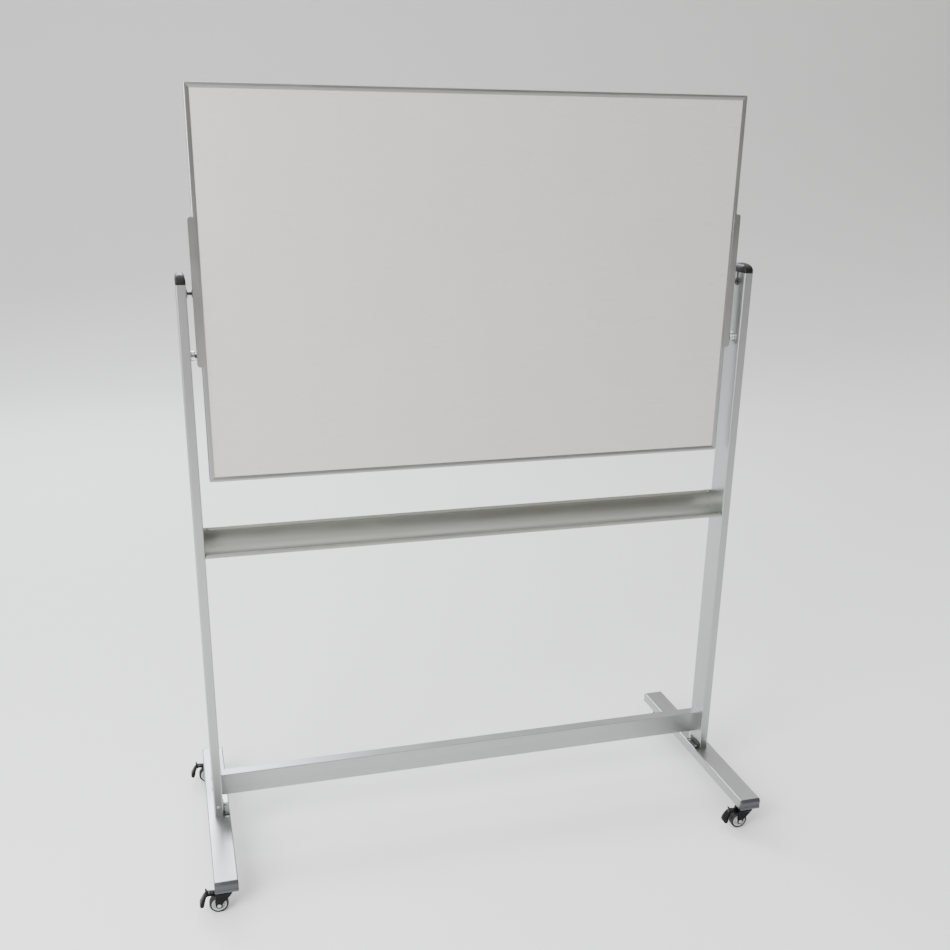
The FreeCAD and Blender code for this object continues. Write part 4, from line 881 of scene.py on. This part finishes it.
def fork(stem_x, y, trail, axle_z, top):
    """A strip bent into an upside-down U over the wheel, as wide at each place as the fork is there.

    The way runs up one cheek, over the top on two quarter rounds and down the other. The strip's two
    edges follow the boss round the axle, then the tapering cheek, then the round top plate.
    """
    cheek_y, bend, boss, axle = 12.4, 4.0, 7.5, 18.0
    plate_z = top - 2.5
    under_axle = axle_z - boss * np.cos(np.linspace(0.05, np.pi / 2, 10))
    rise = np.concatenate([under_axle, np.linspace(axle_z + 3, plate_z - bend, 12)])
    quarter = np.linspace(0, np.pi / 2, 8)[1:]
    up = np.column_stack([np.full(len(rise), -cheek_y), rise])
    bow = np.column_stack([-cheek_y + bend * (1 - np.cos(quarter)), plate_z - bend + bend * np.sin(quarter)])
    over = np.column_stack([np.linspace(-cheek_y + bend, 0, 7)[1:], np.full(6, plate_z)])
    half_way = np.concatenate([up, bow, over])
    height, across = half_way[:, 1], half_way[:, 0]
    round_boss = np.sqrt(np.maximum(boss**2 - (height - axle_z) ** 2, 0))
    climb = np.clip((height - axle_z) / (plate_z - axle_z), 0, 1)
    ease = climb * climb * (3 - 2 * climb)
    disc = np.sqrt(np.maximum(17**2 - across**2, 0))
    front = (axle - boss) * (1 - ease) + ease * -disc
    back = (axle + boss) * (1 - ease) + ease * np.maximum(22, disc) + 2.0 * np.sin(np.pi * climb)
    below = height < axle_z
    front = np.where(below, axle - round_boss, front)
    back = np.where(below, axle + round_boss, back)
    thick = np.where(climb < 0.8, 1.2, 1.2 + 1.3 * np.clip((climb - 0.8) / 0.2, 0, 1))
    way = np.concatenate([half_way, half_way[-2::-1] * (-1, 1)])
    front, back, thick = (np.concatenate([values, values[-2::-1]]) for values in (front, back, thick))
    slope = np.gradient(way, axis=0)
    slope /= np.linalg.norm(slope, axis=1, keepdims=True)
    normal = np.stack([-slope[:, 1], slope[:, 0]], 1)
    turn = np.linspace(-np.pi / 2, np.pi / 2, 5)
    lift = np.concatenate([np.sin(turn), -np.sin(turn)])
    bulge = np.concatenate([np.cos(turn), -np.cos(turn)])
    far = np.repeat([1.0, 0.0], 5)
    edge = np.minimum(thick, 0.8)[:, None]
    half_span = (back - front)[:, None] / 2
    along = (front + back)[:, None] / 2 + (np.maximum(half_span - edge, 0)) * (2 * far - 1) + edge * bulge
    off = thick[:, None] * lift
    points = way[:, None] + normal[:, None] * off[..., None]
    grid = np.stack([stem_x + trail * along, y + points[..., 0], points[..., 1]], -1)
    return tube_of(grid)


def lever(stem_x, y, trail, pivot_z, pedal_half, foot_gap):
    """A plate bent along a smooth path from the pivot, over the wheel and down to the pedal."""

    def place(points, across):
        return np.stack([stem_x + trail * points[..., 0], y + across, points[..., 1]], -1)

    base = pivot_z
    arch = [(19.5, base), (25, base + 0.3), (32, base + 1.4), (40, base + 1.8), (45.5, base - 1.0)]
    path = smooth_path(arch + [(49, 39), (51.8, 32), (53.8, 26), (55, 20)])
    way = np.linspace(0, 1, len(path))
    half_widths = [9, 9, 11, pedal_half, pedal_half, pedal_half - 1.5]
    half_width = np.interp(way, [0, 0.5, 0.66, 0.8, 0.97, 1], half_widths)
    half_thick = np.interp(way, [0, 0.1, 0.5, 0.68, 0.85, 0.96, 1], [2.2, 2.6, 2.8, 4.0, 5.2, 4.8, 3.2])
    ribs = 0.25 * np.sin(np.clip((way - 0.72) / 0.26, 0, 1) * 6 * FULL_TURN)
    arm = strip(path, half_width, half_thick + np.maximum(ribs, 0), place)
    tab_path = smooth_path([(40.5, base + 1), (42.5, base + 5), (44.2, foot_gap)])
    tab = strip(tab_path, np.full(len(tab_path), 9.0), np.linspace(2.4, 1.8, len(tab_path)), place)
    pin = turned_outline(
        rounded([(0, -13.6), (2, -13.6), (2, 13.6), (0, 13.6)], [0, 0.3, 0.3, 0]),
        (stem_x + trail * 22, y, pivot_z),
        "y",
        steps=24,
        loop=True,
    )
    return [arm, tab, pin]


class OBJECT_OT_casters(bpy.types.Operator):
    """Make the four casters: fork, wheel core, tyre, axle and brake lever"""

    bl_idname = "whiteboard.casters"
    bl_label = "Casters"

    def execute(self, context):
        size = sizes(context)
        finish_of = finishes(context)
        half_tyre, wheel = size.tyre_width / 2, size.wheel_radius
        core = rounded(
            [(3.05, -9.5), (6.2, -9.5), (7.2, -3), (12.2, -3), (13.2, -7.5), (16, -7.5)]
            + [(16, 7.5), (13.2, 7.5), (12.2, 3), (7.2, 3), (6.2, 9.5), (3.05, 9.5)],
            [0.2, 0.8, 0.8, 0.8, 0.6, 0, 0, 0.6, 0.8, 0.8, 0.8, 0.2],
            4,
        )
        tyre = rounded(
            [(16, -half_tyre + 1), (16.3, -half_tyre), (wheel - 2, -half_tyre), (wheel, -half_tyre + 2.6)]
            + [(wheel, half_tyre - 2.6), (wheel - 2, half_tyre), (16.3, half_tyre), (16, half_tyre - 1)],
            [0.1, 0.3, 1.5, 2.4, 2.4, 1.5, 0.3, 0.1],
            5,
        )
        axle = rounded(
            [(0, -14.8), (4.5, -14.8), (4.5, -13.6), (3, -13.6)]
            + [(3, 13.6), (4.5, 13.6), (4.5, 14.8), (0, 14.8)],
            [0, 0.9, 0.1, 0, 0, 0.1, 0.9, 0],
        )
        for name in CASTERS:
            stem_x, y, trail, axle_x, axle_z = caster_places(name)
            fork_top = high(f"{name}_caster_fork", "z")
            centre = (axle_x, y, axle_z)
            turning = {"axis": "y", "steps": 64, "loop": True}
            pedal_pivot_z, tab_top_z = 46.0, 55.4
            wheel_core, tread = (turned_outline(shape, centre, **turning) for shape in (core, tyre))
            rivet = turned_outline(axle, centre, "y", loop=True)
            bent_fork = fork(stem_x, y, trail, axle_z, fork_top)
            pedal = lever(stem_x, y, trail, pedal_pivot_z, size.pedal_width / 2, tab_top_z)
            parts = (
                ("core", [wheel_core], "wheel", "wheel_grey", "wheel_polypropylene", "wheel_core"),
                ("tread", [tread], "wheel", "tyre_rubber", "moulded_rubber", "tyre"),
                ("riveted_axle", [rivet], "caster", "zinc_steel", "zinc_plate", "caster_axle"),
                ("fork", [bent_fork], "caster", "caster_black", "black_nylon", "caster_fork"),
                ("pedal", pedal, "brake", "caster_black", "black_nylon", "brake_lever"),
            )
            for part, patches, body, slot_name, made_of, node in parts:
                material = finish_of[made_of]
                piece(f"{name}_{part}", patches, f"{name}_{body}", slot_name, material, [f"{name}_{node}"])
        return {"FINISHED"}


# ---------------------------------------------------------------- stage
def soft_light(name, place, aim, width, height, watts, tone="#FFFFFF"):
    """A rectangular soft box that faces a point."""
    lamp = bpy.data.lights.new(name, "AREA")
    lamp.shape = "RECTANGLE"
    lamp.size, lamp.size_y = width, height
    lamp.energy = watts
    lamp.color = linear(tone)
    made = bpy.data.objects.new(name, lamp)
    made.location = place
    made.rotation_euler = (Vector(aim) - Vector(place)).to_track_quat("-Z", "Y").to_euler()
    bpy.context.scene.collection.objects.link(made)


def look(place, turn, tilt, roll):
    """A camera's matrix from its place and its angles: turned from +Y towards +X, tilted up, rolled."""
    forward = np.array([np.sin(turn) * np.cos(tilt), np.cos(turn) * np.cos(tilt), np.sin(tilt)])
    level = np.array([np.cos(turn), -np.sin(turn), 0])
    upright = np.cross(level, forward)
    right = np.cos(roll) * level + np.sin(roll) * upright
    above = np.cos(roll) * upright - np.sin(roll) * level
    matrix = np.eye(4)
    matrix[:3, 0], matrix[:3, 1], matrix[:3, 2], matrix[:3, 3] = right, above, -forward, place
    return Matrix(matrix.tolist())


class OBJECT_OT_studio(bpy.types.Operator):
    """Make the pale floor, the soft lights and the camera"""

    bl_idname = "whiteboard.studio"
    bl_label = "Studio"

    def execute(self, context):
        reach, rows = 7.0, 24
        bend = np.linspace(0, np.pi / 2, rows)
        side = np.concatenate([[-reach], reach - 2 + 2 * np.sin(bend), [reach]])
        rise = np.concatenate([[0], 2 * (1 - np.cos(bend)), [6]])
        points = np.array([(x, y, z) for y, z in zip(side, rise) for x in (-reach, reach)])
        faces = [[2 * k, 2 * k + 1, 2 * k + 3, 2 * k + 2] for k in range(len(side) - 1)]
        mesh = bpy.data.meshes.new("studio_floor")
        mesh.from_pydata(points.tolist(), [], faces)
        mesh.shade_smooth()
        material, shader = blank("matt_paper")
        mottle = pattern(material, 400, 2.0)
        tinted(material, shader, mottle, linear("#F4F4F4"), 0.004)
        shader.inputs["Roughness"].default_value = 0.9
        shader.inputs["Specular IOR Level"].default_value = 0.1
        mesh.materials.append(material)
        floor = bpy.data.objects.new("studio_floor", mesh)
        context.scene.collection.objects.link(floor)

        world = bpy.data.worlds.new("studio")
        world.use_nodes = True
        place = add_node(world, "ShaderNodeTexCoord")
        towards = add_node(
            world,
            "ShaderNodeVectorMath",
            {"operation": "DOT_PRODUCT", 1: Vector((-0.45, 0.55, 0.70)).normalized()},
            {0: (place, "Generated")},
        )
        room = add_node(world, "ShaderNodeValToRGB", links={"Fac": (towards, "Value")})
        room.color_ramp.elements[0].position = 0.0
        room.color_ramp.elements[0].color = (*linear("#6E6C6A"), 1)
        room.color_ramp.elements[1].position = 0.75
        room.color_ramp.elements[1].color = (*linear("#FFFFFF"), 1)
        background = world.node_tree.nodes["Background"]
        world.node_tree.links.new(room.outputs["Color"], background.inputs["Color"])
        background.inputs["Strength"].default_value = 2.3
        context.scene.world = world
        soft_light("key_soft_box", (-2.3, -1.9, 2.2), (-0.3, 0, 1.0), 1.6, 2.4, 150)
        soft_light("rear_soft_box", (-1.2, 4.3, 3.4), (-0.6, 0, 0.2), 2.2, 1.6, 190, "#F2F8FF")

        camera = bpy.data.cameras.new("camera")
        camera.sensor_width = 36
        camera.lens = 41.14
        camera.shift_x, camera.shift_y = 0.012, 0.0495
        camera.clip_start, camera.clip_end = 0.05, 60
        made = bpy.data.objects.new("camera", camera)
        place = (-0.6673, -2.2972, 1.6004)
        made.matrix_world = look(place, *np.radians([15.504, -19.36, 0.725]))
        context.scene.collection.objects.link(made)
        context.scene.camera = made
        return {"FINISHED"}


# ---------------------------------------------------------------- add-on
OPERATORS = (
    OBJECT_OT_board_frame,
    OBJECT_OT_fixings,
    OBJECT_OT_stand,
    OBJECT_OT_pen_tray,
    OBJECT_OT_pivots,
    OBJECT_OT_casters,
    OBJECT_OT_studio,
)


class VIEW3D_PT_whiteboard(bpy.types.Panel):
    """Lists the pieces, their sizes and their colours"""

    bl_label = "Rolling Whiteboard"
    bl_idname = "VIEW3D_PT_whiteboard"
    bl_space_type = "VIEW_3D"
    bl_region_type = "UI"
    bl_category = "Whiteboard"

    def draw(self, context):
        for group in (context.scene.whiteboard_sizes, context.scene.whiteboard_colours):
            box = self.layout.box()
            for key in type(group).__annotations__:
                box.prop(group, key)
        for operator in OPERATORS:
            self.layout.operator(operator.bl_idname)


CLASSES = (WhiteboardSizes, WhiteboardColours, *OPERATORS, VIEW3D_PT_whiteboard)


def register():
    for item in CLASSES:
        bpy.utils.register_class(item)
    bpy.types.Scene.whiteboard_sizes = PointerProperty(type=WhiteboardSizes)
    bpy.types.Scene.whiteboard_colours = PointerProperty(type=WhiteboardColours)


def unregister():
    del bpy.types.Scene.whiteboard_sizes
    del bpy.types.Scene.whiteboard_colours
    for item in reversed(CLASSES):
        bpy.utils.unregister_class(item)


def main():
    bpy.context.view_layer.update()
    register()
    for operator in OPERATORS:
        getattr(bpy.ops.whiteboard, operator.bl_idname.split(".")[1])()


if __name__ == "__main__":
    main()
